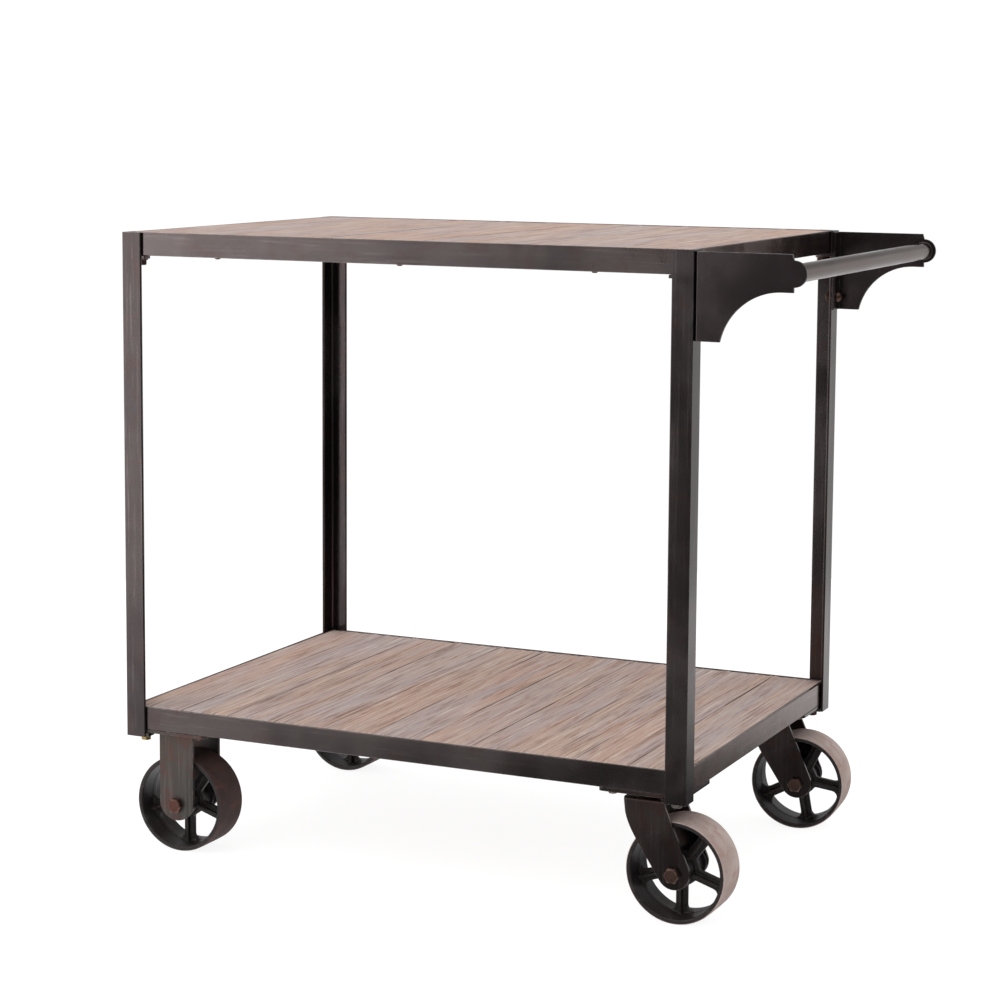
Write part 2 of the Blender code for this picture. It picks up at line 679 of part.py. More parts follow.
def main():
    """Clear the scene and build the cart."""
    for item in list(bpy.data.objects):
        bpy.data.objects.remove(item)
    finishes = {
        "iron": finish("gunmetal_iron", (0.075, 0.060, 0.057), 0.48, 0.75),
        "bar": finish("burnished_bar", (0.16, 0.13, 0.12), 0.25, 0.95),
        "wheel": finish("cast_wheel", (0.040, 0.032, 0.030), 0.60, 0.55),
        "bolt": finish("bronzed_bolt", (0.14, 0.075, 0.058), 0.40, 0.80),
        "wood": finish("limed_wood", (0.44, 0.36, 0.31), 0.75, 0.0),
    }
    for end in ENDS:
        for side in SIDES:
            build_post(end, side, finishes["iron"])
    for deck in DECKS:
        build_deck_frame(deck, finishes["iron"])
        build_planks(deck, finishes["wood"])
    for side in SIDES:
        build_bracket(side, finishes["iron"])
        build_bracket_fasteners(side, finishes["bolt"])
    build_handle_bar(finishes["bar"])
    build_corner_bolts(finishes["bolt"])
    build_casters(finishes)


main()
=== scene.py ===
"""Looks of a two-deck bar cart on cast wheels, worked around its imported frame.

Each sub-assembly is a class: its fields are its sizes in metres, and its methods cut
its meshes and dress them. Places are read from the frame's own nodes and joints.
"""

import json
import logging
import math
from collections.abc import Iterable, Sequence
from dataclasses import dataclass, field
from enum import Enum

import bmesh
import bpy
from mathutils import Matrix, Vector, noise


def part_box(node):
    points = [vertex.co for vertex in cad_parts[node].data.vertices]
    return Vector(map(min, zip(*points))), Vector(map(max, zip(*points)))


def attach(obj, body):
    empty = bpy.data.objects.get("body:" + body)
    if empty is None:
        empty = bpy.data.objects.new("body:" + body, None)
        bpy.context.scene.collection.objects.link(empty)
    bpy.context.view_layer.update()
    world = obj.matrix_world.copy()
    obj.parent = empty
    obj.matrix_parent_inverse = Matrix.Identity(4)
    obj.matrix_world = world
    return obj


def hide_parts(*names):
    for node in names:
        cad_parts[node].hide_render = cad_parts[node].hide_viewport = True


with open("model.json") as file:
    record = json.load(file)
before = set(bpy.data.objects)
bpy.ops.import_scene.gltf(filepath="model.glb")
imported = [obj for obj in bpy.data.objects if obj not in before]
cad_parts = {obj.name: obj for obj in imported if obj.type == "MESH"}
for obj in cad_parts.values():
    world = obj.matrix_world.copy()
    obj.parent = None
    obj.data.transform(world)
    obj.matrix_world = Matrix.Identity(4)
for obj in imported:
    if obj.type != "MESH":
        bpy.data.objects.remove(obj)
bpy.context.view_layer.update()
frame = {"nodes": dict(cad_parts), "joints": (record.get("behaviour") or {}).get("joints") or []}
JOINTS = {joint["name"]: joint for joint in frame["joints"]}

GAP = 0.0003
PLATE_THICKNESS = 0.0048

Point = tuple[float, float]
Colour = tuple[float, float, float]
Loop = list[bmesh.types.BMVert]
log = logging.getLogger("bar_cart")


class Side(Enum):
    """Long sides of the cart, with the sign of Y on that side."""

    FRONT = -1
    BACK = 1

    @property
    def label(self) -> str:
        """Name used in node names."""
        return self.name.lower()


class End(Enum):
    """Short ends of the cart, with the sign of X at that end."""

    LEFT = -1
    RIGHT = 1

    @property
    def label(self) -> str:
        """Name used in node names."""
        return self.name.lower()


class Run(Enum):
    """Direction in which a piece was rolled, drawn or sawn."""

    X = 0
    Y = 1
    Z = 2


class Slot(Enum):
    """Material slots of the record."""

    IRON = "dark_iron"
    BAR = "burnished_bar"
    WHEEL = "cast_wheel"
    BOLT = "bronzed_bolt"
    WOOD = "limed_wood"


# Outlines

def tint(code: str) -> Colour:
    """Turn a six-figure colour code into linear red, green and blue."""
    parts = [int(code[start:start + 2], 16) / 255 for start in (0, 2, 4)]
    return tuple(part / 12.92 if part < 0.04045 else ((part + 0.055) / 1.055) ** 2.4 for part in parts)


def yaw_of(axis: Vector) -> float:
    """Turn about Z that brings the Y axis onto a level axis."""
    return math.atan2(-axis.x, axis.y)


def arc_to(centre: Point, start: Point, end: Point, steps: int) -> list[Point]:
    """Points on the shorter arc between two points.

    Args:
        centre: middle of the arc's circle.
        start: first point of the arc.
        end: last point of the arc.
        steps: number of straight pieces.

    Returns:
        The points from start to end, both included.
    """
    radius = math.dist(centre, start)
    first = math.atan2(start[1] - centre[1], start[0] - centre[0])
    last = math.atan2(end[1] - centre[1], end[0] - centre[0])
    sweep = (last - first + math.pi) % (2 * math.pi) - math.pi
    angles = [first + sweep * step / steps for step in range(steps + 1)]
    return [(centre[0] + radius * math.cos(a), centre[1] + radius * math.sin(a)) for a in angles]


def filleted(corners: Sequence[tuple[float, float, float]], steps: int = 6) -> list[Point]:
    """Round the corners of a closed outline.

    Args:
        corners: x, y and radius of each corner; a zero radius stays sharp.
        steps: straight pieces in each rounded corner.

    Returns:
        The outline's points.
    """
    points: list[Point] = []
    for index, (x, y, radius) in enumerate(corners):
        here = Vector((x, y))
        if radius <= 0:
            points.append((x, y))
            continue
        back = (Vector(corners[index - 1][:2]) - here).normalized()
        ahead = (Vector(corners[(index + 1) % len(corners)][:2]) - here).normalized()
        half = back.angle(ahead) / 2
        reach = radius / math.tan(half)
        centre = here + (back + ahead).normalized() * (radius / math.sin(half))
        points += arc_to(tuple(centre), tuple(here + back * reach), tuple(here + ahead * reach), steps)
    return points


def touch_point(outside: Point, centre: Point, radius: float, turn: int) -> Point:
    """Point where a line from outside touches a circle.

    Args:
        outside: where the line starts.
        centre: middle of the circle.
        radius: radius of the circle.
        turn: 1 or -1, for one side of the circle or the other.

    Returns:
        The point of contact.
    """
    run, rise = outside[0] - centre[0], outside[1] - centre[1]
    angle = math.atan2(rise, run) + turn * math.acos(radius / math.hypot(run, rise))
    return centre[0] + radius * math.cos(angle), centre[1] + radius * math.sin(angle)


# Solids

def prism(outline: Sequence[Point], low: float, high: float, run: Run = Run.Z) -> bmesh.types.BMesh:
    """Extrude an outline.

    Args:
        outline: corners of the outline, XY for a run along Z, XZ for Y, YZ for X.
        low: where the extrusion starts.
        high: where it ends.
        run: direction of the extrusion.

    Returns:
        A closed solid.
    """
    bm = bmesh.new()
    order = {Run.X: (2, 0, 1), Run.Y: (0, 2, 1), Run.Z: (0, 1, 2)}[run]
    loops = []
    for height in (low, high):
        corners = [(u, v, height) for u, v in outline]
        loops.append([bm.verts.new([corner[axis] for axis in order]) for corner in corners])
    skin(bm, loops)
    return bm


def skin(bm: bmesh.types.BMesh, loops: Sequence[Loop], ring: bool = False) -> None:
    """Skin closed loops of vertices with quads.

    Args:
        bm: mesh that holds the vertices.
        loops: loops of as many vertices each, in order.
        ring: join the last loop to the first, in place of capping both.
    """
    pairs = list(zip(loops, loops[1:]))
    if ring:
        pairs.append((loops[-1], loops[0]))
    else:
        bm.faces.new(loops[0])
        bm.faces.new(loops[-1])
    for first, second in pairs:
        for step in range(len(first)):
            after = (step + 1) % len(first)
            bm.faces.new((first[step], first[after], second[after], second[step]))
    bmesh.ops.recalc_face_normals(bm, faces=bm.faces)


def lathe(profile: Sequence[Point], segments: int = 48, run: Run = Run.Z, hollow: bool = False,
          flats: Sequence[int] = ()) -> bmesh.types.BMesh:
    """Turn a profile about an axis.

    Args:
        profile: radius and height of each ring.
        segments: divisions round the axis.
        run: the axis.
        hollow: close the profile on itself, for a bored piece.
        flats: numbers of the rings that are six-sided, their radius being half the width
            across flats.

    Returns:
        A closed solid.
    """
    bm = bmesh.new()
    sixth, twelfth = math.radians(60), math.radians(30)
    order = {Run.X: (2, 0, 1), Run.Y: (0, 2, 1), Run.Z: (0, 1, 2)}[run]
    loops = []
    for number, (radius, height) in enumerate(profile):
        loop = []
        for step in range(segments):
            angle = 2 * math.pi * step / segments
            reach = radius / math.cos(angle % sixth - twelfth) if number in flats else radius
            place = (reach * math.cos(angle), reach * math.sin(angle), height)
            loop.append(bm.verts.new([place[axis] for axis in order]))
        loops.append(loop)
    skin(bm, loops, hollow)
    return bm


def bead(start: Vector, end: Vector, radius: float, seed: float) -> bmesh.types.BMesh:
    """Rippled weld bead between two points.

    Args:
        start: where the weld starts.
        end: where it ends.
        radius: size of the bead.
        seed: shifts the ripple, so that no two beads match.

    Returns:
        A closed solid.
    """
    bm = bmesh.new()
    along = end - start
    across = along.orthogonal().normalized()
    up = along.cross(across).normalized()
    rings = max(8, int(along.length / 0.0014))
    loops = []
    turns = [2 * math.pi * step / 10 for step in range(10)]
    for ring in range(rings + 1):
        share = ring / rings
        taper = min(1.0, 5 * min(share, 1 - share) + 0.35)
        ripple = 0.16 * math.sin(ring * 2.1 + seed) + 0.1 * noise.noise((ring * 0.4, seed, 0))
        swell = radius * taper * (1 + ripple)
        middle = start + along * share
        loops.append([bm.verts.new(middle + (across * math.cos(turn) + up * math.sin(turn)) * swell)
                      for turn in turns])
    skin(bm, loops)
    return bm


def solid(name: str, shape: bmesh.types.BMesh, place: Matrix | None = None) -> bpy.types.Object:
    """Put a shape in the scene.

    Args:
        name: name of the object and of its mesh.
        shape: the shape, which is used up.
        place: where it stands; the origin if left out.

    Returns:
        The object.
    """
    mesh = bpy.data.meshes.new(name)
    shape.to_mesh(mesh)
    shape.free()
    item = bpy.data.objects.new(name, mesh)
    item.matrix_world = place or Matrix.Identity(4)
    bpy.context.scene.collection.objects.link(item)
    return item


def apply_modifiers(item: bpy.types.Object) -> None:
    """Turn an object's modifiers into its mesh.

    Args:
        item: the object.
    """
    bpy.context.view_layer.update()
    graph = bpy.context.evaluated_depsgraph_get()
    done = bpy.data.meshes.new_from_object(item.evaluated_get(graph))
    item.modifiers.clear()
    item.data = done
    done.name = item.name


def settle(item: bpy.types.Object, crease: float = 35.0) -> None:
    """Apply an object's modifiers and shade it smooth between sharp edges.

    Args:
        item: the object.
        crease: edges that turn by more than this many degrees stay sharp.
    """
    apply_modifiers(item)
    item.data.shade_smooth()
    item.data.set_sharp_from_angle(angle=math.radians(crease))


def work(item: bpy.types.Object, shapes: Iterable[bmesh.types.BMesh], operation: str) -> None:
    """Weld shapes to an object, or cut them out of it, in the object's own axes.

    Args:
        item: the object worked on.
        shapes: what is added or taken away.
        operation: UNION or DIFFERENCE.
    """
    tools = []
    for shape in shapes:
        tool = solid("tool", shape, item.matrix_world)
        change = item.modifiers.new("work", "BOOLEAN")
        change.operation = operation
        change.object = tool
        tools.append(tool)
    settle(item)
    for tool in tools:
        bpy.data.objects.remove(tool)


def ease(item: bpy.types.Object, width: float, segments: int = 2, limit: float = 40.0) -> None:
    """Break an object's sharp edges.

    Args:
        item: the object.
        width: size of the rounded edge.
        segments: facets across it.
        limit: only edges that turn by more than this many degrees are rounded.
    """
    change = item.modifiers.new("ease", "BEVEL")
    change.width = width
    change.segments = segments
    change.limit_method = "ANGLE"
    change.angle_limit = math.radians(limit)
    change.use_clamp_overlap = True
    settle(item)


def even_out(item: bpy.types.Object) -> None:
    """Weight an object's normals by face size, so that its flat faces shade flat."""
    item.modifiers.new("even", "WEIGHTED_NORMAL").keep_sharp = True
    apply_modifiers(item)


def merge(name: str, items: Sequence[bpy.types.Object]) -> bpy.types.Object:
    """Gather several objects' meshes into the first one.

    Args:
        name: the first object's new name.
        items: the objects; all but the first are removed.

    Returns:
        The first object.
    """
    bm = bmesh.new()
    first = items[0]
    home = first.matrix_world.inverted()
    for item in items:
        start = len(bm.verts)
        bm.from_mesh(item.data)
        bm.verts.ensure_lookup_table()
        shift = home @ item.matrix_world
        for vert in bm.verts[start:]:
            vert.co = shift @ vert.co
    bm.to_mesh(first.data)
    bm.free()
    for item in items[1:]:
        bpy.data.objects.remove(item)
    first.name = name
    first.data.name = name
    return first


# Shading

@dataclass
class Wiring:
    """Shorthand for wiring one node tree."""

    tree: bpy.types.NodeTree

    def add(self, kind: str, sockets: dict | None = None, **settings: object) -> bpy.types.Node:
        """Add a node.

        Args:
            kind: node type, without its ShaderNode prefix.
            sockets: input names or numbers, each with a value or an output to link.
            settings: properties of the node.

        Returns:
            The node.
        """
        node = self.tree.nodes.new(f"ShaderNode{kind}")
        for name, value in settings.items():
            setattr(node, name, value)
        for name, value in (sockets or {}).items():
            self.feed(node.inputs[name], value)
        return node

    def feed(self, socket: bpy.types.NodeSocket, value: object) -> None:
        """Link an output to a socket, or set the socket's value.

        Args:
            socket: the input.
            value: an output, a number, a vector or a colour.
        """
        if isinstance(value, bpy.types.NodeSocket):
            self.tree.links.new(value, socket)
        elif isinstance(value, tuple) and len(value) == 3 and socket.type == "RGBA":
            socket.default_value = (*value, 1.0)
        else:
            socket.default_value = value

    def mix(self, share: object, first: object, second: object, blend: str = "MIX") -> bpy.types.NodeSocket:
        """Mix two colours and return the result."""
        node = self.add("Mix", {0: share, 6: first, 7: second}, data_type="RGBA", blend_type=blend)
        return node.outputs[2]

    def product(self, first: object, second: object) -> bpy.types.NodeSocket:
        """Multiply two shares and return the result, kept between zero and one."""
        sockets = {0: first, 1: second}
        return self.add("Math", sockets, operation="MULTIPLY", use_clamp=True).outputs[0]

    def number(self, operation: str, *values: object) -> bpy.types.NodeSocket:
        """Work out one number from others and return it."""
        return self.add("Math", dict(enumerate(values)), operation=operation).outputs[0]

    def group(self, tree: bpy.types.NodeTree, vector: object, **sockets: float) -> bpy.types.NodeOutputs:
        """Add a group that reads a vector, set its other inputs and return its outputs."""
        return self.add("Group", {"Vector": vector, **sockets}, node_tree=tree).outputs

    def emboss(self, shader: bpy.types.Node, height: object, strength: float, distance: float) -> None:
        """Raise a surface by a height from zero to one, over a distance in metres."""
        bump = self.add("Bump", {"Strength": strength, "Distance": distance, "Height": height})
        self.feed(shader.inputs["Normal"], bump.outputs[0])

    def spread(self, value: object, low: float, high: float,
               start: float = 0.0, end: float = 1.0) -> bpy.types.NodeSocket:
        """Map a number from one range to another, with soft ends.

        Args:
            value: the number.
            low: where the first range starts.
            high: where it ends, above or below its start.
            start: result at the start and before it.
            end: result at the end and past it.

        Returns:
            The mapped number.
        """
        sockets = {"Value": value, "From Min": low, "From Max": high, "To Min": start, "To Max": end}
        node = self.add("MapRange", sockets, interpolation_type="SMOOTHSTEP")
        return node.outputs["Result"]

    def noise(self, vector: object, scale: object, detail: float = 4.0, rough: float = 0.55,
              distort: float = 0.0) -> bpy.types.NodeSocket:
        """Add a noise texture.

        Args:
            vector: where it is read.
            scale: how fine it is.
            detail: number of finer layers.
            rough: weight of each finer layer.
            distort: how far it is stirred.

        Returns:
            Its value, from 0 to 1.
        """
        sockets = {"Vector": vector, "Scale": scale, "Detail": detail, "Roughness": rough,
                   "Distortion": distort}
        return self.add("TexNoise", sockets).outputs["Fac"]

    def stretch(self, vector: object, scale: object, offset: Colour = (0, 0, 0)) -> bpy.types.NodeSocket:
        """Scale a vector axis by axis, shift it and return it."""
        scaled = self.add("VectorMath", {0: vector, 1: scale}, operation="MULTIPLY").outputs[0]
        return self.add("VectorMath", {0: scaled, 1: offset}, operation="ADD").outputs[0]


def new_group(name: str, inputs: dict[str, tuple[str, object]], outputs: dict[str, str]
              ) -> tuple[bpy.types.NodeTree, Wiring, bpy.types.Node, bpy.types.Node]:
    """Start a shader node group.

    Args:
        name: the group's name.
        inputs: each input's name, with its kind and first value.
        outputs: each output's name and kind.

    Returns:
        The group, its wiring, its input node and its output node.
    """
    tree = bpy.data.node_groups.new(name, "ShaderNodeTree")
    for label, (kind, value) in inputs.items():
        socket = tree.interface.new_socket(label, in_out="INPUT", socket_type=f"NodeSocket{kind}")
        if value is not None:
            socket.default_value = value
    for label, kind in outputs.items():
        tree.interface.new_socket(label, in_out="OUTPUT", socket_type=f"NodeSocket{kind}")
    wiring = Wiring(tree)
    start = tree.nodes.new("NodeGroupInput")
    end = tree.nodes.new("NodeGroupOutput")
    return tree, wiring, start, end


def edge_wear_group() -> bpy.types.NodeTree:
    """Mask of edges rubbed bright, broken up by noise.

    Returns:
        The group.
    """
    inputs = {"Vector": ("Vector", None), "Width": ("Float", 0.0015), "Breakup": ("Float", 90.0)}
    tree, wiring, start, end = new_group("edge_wear", inputs, {"Wear": "Float"})
    rounded = wiring.add("Bevel", {"Radius": start.outputs["Width"]}, samples=4).outputs[0]
    plain = wiring.add("NewGeometry").outputs["Normal"]
    dot = wiring.add("VectorMath", {0: rounded, 1: plain}, operation="DOT_PRODUCT").outputs["Value"]
    edge = wiring.spread(dot, 0.995, 0.90)
    patches = wiring.noise(start.outputs["Vector"], start.outputs["Breakup"], 5.0, 0.7)
    broken = wiring.spread(patches, 0.42, 0.62)
    wiring.feed(end.inputs["Wear"], wiring.product(edge, broken))
    return tree


def patina_group() -> bpy.types.NodeTree:
    """Clouds, blotches and speckle of an aged finish.

    Returns:
        The group.
    """
    inputs = {"Vector": ("Vector", None), "Scale": ("Float", 8.0)}
    outputs = {"Cloud": "Float", "Blotch": "Float", "Speckle": "Float"}
    tree, wiring, start, end = new_group("patina", inputs, outputs)
    vector, scale = start.outputs["Vector"], start.outputs["Scale"]
    cloud = wiring.noise(vector, scale, 3.0, 0.5, 0.4)
    wiring.feed(end.inputs["Cloud"], wiring.spread(cloud, 0.30, 0.70))
    finer = wiring.number("MULTIPLY", scale, 3.1)
    blotch = wiring.noise(wiring.stretch(vector, (1, 1, 1), (3.7, 1.9, 5.3)), finer, 6.0, 0.62, 0.8)
    wiring.feed(end.inputs["Blotch"], wiring.spread(blotch, 0.50, 0.66))
    finest = wiring.number("MULTIPLY", scale, 60.0)
    speckle = wiring.noise(vector, finest, 3.0, 0.7)
    wiring.feed(end.inputs["Speckle"], wiring.spread(speckle, 0.35, 0.75))
    return tree


def streak_group() -> bpy.types.NodeTree:
    """Fine and broad streaks along a vector that has been stretched beforehand.

    Returns:
        The group.
    """
    inputs = {"Vector": ("Vector", None)}
    tree, wiring, start, end = new_group("streaks", inputs, {"Fine": "Float", "Broad": "Float"})
    fine = wiring.noise(start.outputs["Vector"], 4.0, 6.0, 0.7, 0.15)
    wiring.feed(end.inputs["Fine"], wiring.spread(fine, 0.32, 0.72))
    aside = wiring.stretch(start.outputs["Vector"], (1, 1, 1), (9.1, 2.2, 4.4))
    broad = wiring.noise(aside, 0.8, 3.0, 0.5, 0.3)
    wiring.feed(end.inputs["Broad"], wiring.spread(broad, 0.35, 0.68))
    return tree


@dataclass(frozen=True)
class Groups:
    """Node groups shared by the finishes, each built once."""

    wear: bpy.types.NodeTree
    patina: bpy.types.NodeTree
    streaks: bpy.types.NodeTree

    @classmethod
    def build(cls) -> "Groups":
        """Build the groups."""
        return cls(edge_wear_group(), patina_group(), streak_group())


def new_material(name: str) -> tuple[bpy.types.Material, Wiring, bpy.types.Node]:
    """Start a material.

    Args:
        name: the material's name.

    Returns:
        The material, its wiring and its Principled node.
    """
    material = bpy.data.materials.new(name)
    material.use_nodes = True
    return material, Wiring(material.node_tree), material.node_tree.nodes["Principled BSDF"]


@dataclass(frozen=True)
class Lacquer:
    """Dark lacquered steel, streaked along its run, with rubbed edges."""

    name: str
    run: Run
    dark: Colour = tint("4d4747")
    light: Colour = tint("635b5a")
    rub: Colour = tint("5c403a")
    rub_share: float = 0.22
    streak_share: float = 0.16
    edge: Colour = tint("a39894")
    roughness: float = 0.21
    metallic: float = 0.96
    stretch: float = 1.6
    across: float = 46.0

    def build(self, groups: Groups) -> bpy.types.Material:
        """Make the material.

        Args:
            groups: the shared node groups.

        Returns:
            The material.
        """
        material, wiring, shader = new_material(self.name)
        place = wiring.add("TexCoord").outputs["Object"]
        scale = [self.across] * 3
        scale[self.run.value] = self.stretch
        streaks = wiring.group(groups.streaks, wiring.stretch(place, tuple(scale)))
        patina = wiring.group(groups.patina, place)
        wear = wiring.group(groups.wear, place)

        tone = wiring.mix(patina["Cloud"], self.dark, self.light)
        tone = wiring.mix(wiring.product(streaks["Broad"], 0.4), tone, self.light)
        red = wiring.product(patina["Blotch"], self.rub_share)
        tone = wiring.mix(red, tone, self.rub)
        pale = wiring.product(wiring.spread(streaks["Fine"], 0.55, 1.0), self.streak_share)
        tone = wiring.mix(pale, tone, self.edge)
        tone = wiring.mix(wiring.product(wear["Wear"], 0.75), tone, self.edge)
        wiring.feed(shader.inputs["Base Color"], tone)

        shine = wiring.spread(patina["Cloud"], 0.0, 1.0, self.roughness - 0.06, self.roughness + 0.09)
        wiring.feed(shader.inputs["Roughness"], shine)
        shader.inputs["Metallic"].default_value = self.metallic
        relief = wiring.mix(0.5, streaks["Fine"], patina["Speckle"])
        wiring.emboss(shader, relief, 0.10, 0.0004)
        return material


@dataclass(frozen=True)
class CastIron:
    """Black cast iron with a rusted tread beyond a given radius."""

    name: str
    tread_radius: float
    body: Colour = tint("2a2424")
    dusted: Colour = tint("4a4242")
    # The default tread colours are the lighter ones: rust with painted light, for wheels that stand in the
    # light.
    tread: Colour = tint("b7a6a0")
    tread_dark: Colour = tint("97827b")
    tread_red: Colour = tint("957268")
    worn: Colour = tint("75675f")
    ragged: float = 0.0005

    def build(self, groups: Groups) -> bpy.types.Material:
        """Make the material.

        Args:
            groups: the shared node groups.

        Returns:
            The material.
        """
        material, wiring, shader = new_material(self.name)
        place = wiring.add("TexCoord").outputs["Object"]
        patina = wiring.group(groups.patina, place, Scale=16.0)
        wear = wiring.group(groups.wear, place, Width=0.002, Breakup=160.0)

        flat = wiring.stretch(place, (1, 0, 1))
        reach = wiring.add("VectorMath", {0: flat}, operation="LENGTH").outputs["Value"]
        waver = wiring.noise(place, 220.0, 4.0, 0.6)
        limits = {"Value": waver, "To Min": -self.ragged, "To Max": self.ragged}
        shift = wiring.add("MapRange", limits).outputs["Result"]
        edge = wiring.number("ADD", reach, shift)
        tread = wiring.spread(edge, self.tread_radius - 0.0006, self.tread_radius + 0.0002)

        body = wiring.mix(wiring.product(patina["Blotch"], 0.5), self.body, self.dusted)
        body = wiring.mix(wiring.product(wear["Wear"], 0.7), body, self.worn)
        rust = wiring.mix(patina["Cloud"], self.tread, self.tread_dark)
        rust = wiring.mix(wiring.product(patina["Blotch"], 0.7), rust, self.tread_red)
        rust = wiring.mix(wiring.product(patina["Speckle"], 0.5), rust, self.tread)
        wiring.feed(shader.inputs["Base Color"], wiring.mix(tread, body, rust))
        wiring.feed(shader.inputs["Metallic"], wiring.spread(tread, 0.0, 1.0, 0.35, 0.0))
        wiring.feed(shader.inputs["Roughness"], wiring.spread(tread, 0.0, 1.0, 0.42, 0.85))
        relief = wiring.mix(0.4, patina["Speckle"], patina["Blotch"])
        wiring.emboss(shader, relief, 0.35, 0.0006)
        return material


@dataclass(frozen=True)
class Fastener:
    """Plated or bronzed fastener, rubbed bright on its corners."""

    name: str
    body: Colour = tint("6a4a42")
    dirt: Colour = tint("33241f")
    edge: Colour = tint("c0a592")
    roughness: float = 0.36

    def build(self, groups: Groups) -> bpy.types.Material:
        """Make the material.

        Args:
            groups: the shared node groups.

        Returns:
            The material.
        """
        material, wiring, shader = new_material(self.name)
        place = wiring.add("TexCoord").outputs["Object"]
        patina = wiring.group(groups.patina, place, Scale=70.0)
        wear = wiring.group(groups.wear, place, Width=0.0008, Breakup=300.0)
        tone = wiring.mix(wiring.product(patina["Blotch"], 0.7), self.body, self.dirt)
        tone = wiring.mix(wear["Wear"], tone, self.edge)
        wiring.feed(shader.inputs["Base Color"], tone)
        shader.inputs["Metallic"].default_value = 0.9
        shine = wiring.spread(patina["Cloud"], 0.0, 1.0, self.roughness - 0.08, self.roughness + 0.12)
        wiring.feed(shader.inputs["Roughness"], shine)
        wiring.emboss(shader, patina["Speckle"], 0.12, 0.0003)
        return material


@dataclass(frozen=True)
class LimedWood:
    """Weathered, limed boards sawn along Y, each with its own tone.

    Boards are told apart by their place along X, so pitch and start match the boards laid.
    """

    name: str
    pitch: float
    start: float
    seed: float
    half_length: float = 0.2983
    beige: Colour = tint("b5a195")
    tan: Colour = tint("b6907f")
    grey: Colour = tint("a69c9f")
    lime: Colour = tint("dacdc3")
    brown: Colour = tint("7a5d4d")
    crack: Colour = tint("42332b")
    knot: Colour = tint("9a6444")

    def build(self, groups: Groups) -> bpy.types.Material:
        """Make the material.

        Args:
            groups: the shared node groups.

        Returns:
            The material.
        """
        material, wiring, shader = new_material(self.name)
        place = wiring.add("TexCoord").outputs["Object"]
        split = wiring.add("SeparateXYZ", {"Vector": place}).outputs
        steps = wiring.number("SUBTRACT", split["X"], self.start)
        boards = wiring.number("DIVIDE", steps, self.pitch)
        number = wiring.number("FLOOR", boards)
        within = wiring.number("FRACT", boards)
        key = wiring.number("ADD", number, self.seed)
        own = wiring.add("TexWhiteNoise", {"W": key}, noise_dimensions="1D")
        jump = wiring.add("VectorMath", {0: own.outputs["Color"], 1: (7, 7, 7)}, operation="MULTIPLY")
        moved = wiring.add("VectorMath", {0: place, 1: jump.outputs[0]}, operation="ADD").outputs[0]

        grain = wiring.group(groups.streaks, wiring.stretch(moved, (76, 1.7, 76)))
        figure = wiring.group(groups.streaks, wiring.stretch(moved, (33, 3.0, 33)))
        patina = wiring.group(groups.patina, wiring.stretch(moved, (3.6, 1.2, 3.6)), Scale=3.2)

        lean = wiring.product(own.outputs["Value"], 0.35)
        tone = wiring.mix(lean, self.beige, self.tan)
        warm = wiring.product(patina["Cloud"], 0.5)
        tone = wiring.mix(warm, tone, self.tan)
        cool = wiring.product(figure["Broad"], 0.7)
        tone = wiring.mix(cool, tone, self.grey)
        dull = wiring.product(wiring.spread(figure["Fine"], 0.58, 0.92), 0.42)
        tone = wiring.mix(dull, tone, self.brown)
        tone = self.add_knots(wiring, moved, tone)
        hush = wiring.product(wiring.spread(grain["Fine"], 0.35, 0.85), 0.20)
        tone = wiring.mix(hush, tone, self.lime)
        pale = wiring.product(wiring.spread(grain["Fine"], 0.74, 0.97), 0.75)
        tone = wiring.mix(pale, tone, self.lime)
        fissure = wiring.product(wiring.spread(grain["Fine"], 0.24, 0.05), 0.75)
        tone = wiring.mix(fissure, tone, self.brown)
        joint = self.joint_mask(wiring, place, within)
        tone = wiring.mix(joint, tone, self.crack)
        tone = wiring.mix(self.end_mask(wiring, place, split["Y"]), tone, self.lime)
        wiring.feed(shader.inputs["Base Color"], tone)

        shine = wiring.spread(grain["Fine"], 0.0, 1.0, 0.78, 0.55)
        wiring.feed(shader.inputs["Roughness"], shine)
        shader.inputs["Specular IOR Level"].default_value = 0.18
        relief = wiring.mix(0.45, grain["Fine"], figure["Fine"])
        wiring.emboss(shader, relief, 0.45, 0.0007)
        return material

    def joint_mask(self, wiring: Wiring, place: bpy.types.NodeSocket,
                   within: bpy.types.NodeSocket) -> bpy.types.NodeSocket:
        """Mask of the dirt along the board joints, which comes and goes.

        Args:
            wiring: the material's wiring.
            place: place on the deck.
            within: place across a board, from zero to one.

        Returns:
            The mask.
        """
        centre = wiring.number("SUBTRACT", within, 0.5)
        off = wiring.number("ABSOLUTE", centre)
        line = wiring.spread(off, 0.481, 0.495)
        fade = wiring.noise(wiring.stretch(place, (8, 5, 1), (0, 0, self.seed)), 1.0, 3.0, 0.6)
        return wiring.product(line, wiring.spread(fade, 0.38, 0.62, 0.08, 0.95))

    def end_mask(self, wiring: Wiring, place: bpy.types.NodeSocket,
                 along: bpy.types.NodeSocket) -> bpy.types.NodeSocket:
        """Mask of the pale, frayed fibres at both ends of the boards.

        Args:
            wiring: the material's wiring.
            place: place on the deck.
            along: place along the boards, zero in the middle.

        Returns:
            The mask.
        """
        reach = wiring.number("ABSOLUTE", along)
        ragged = wiring.noise(wiring.stretch(place, (300, 40, 1)), 1.0, 3.0, 0.6)
        push = wiring.spread(ragged, 0.3, 0.7, -0.006, 0.004)
        edge = wiring.number("ADD", reach, push)
        near = wiring.spread(edge, self.half_length - 0.009, self.half_length)
        return wiring.product(near, 0.55)

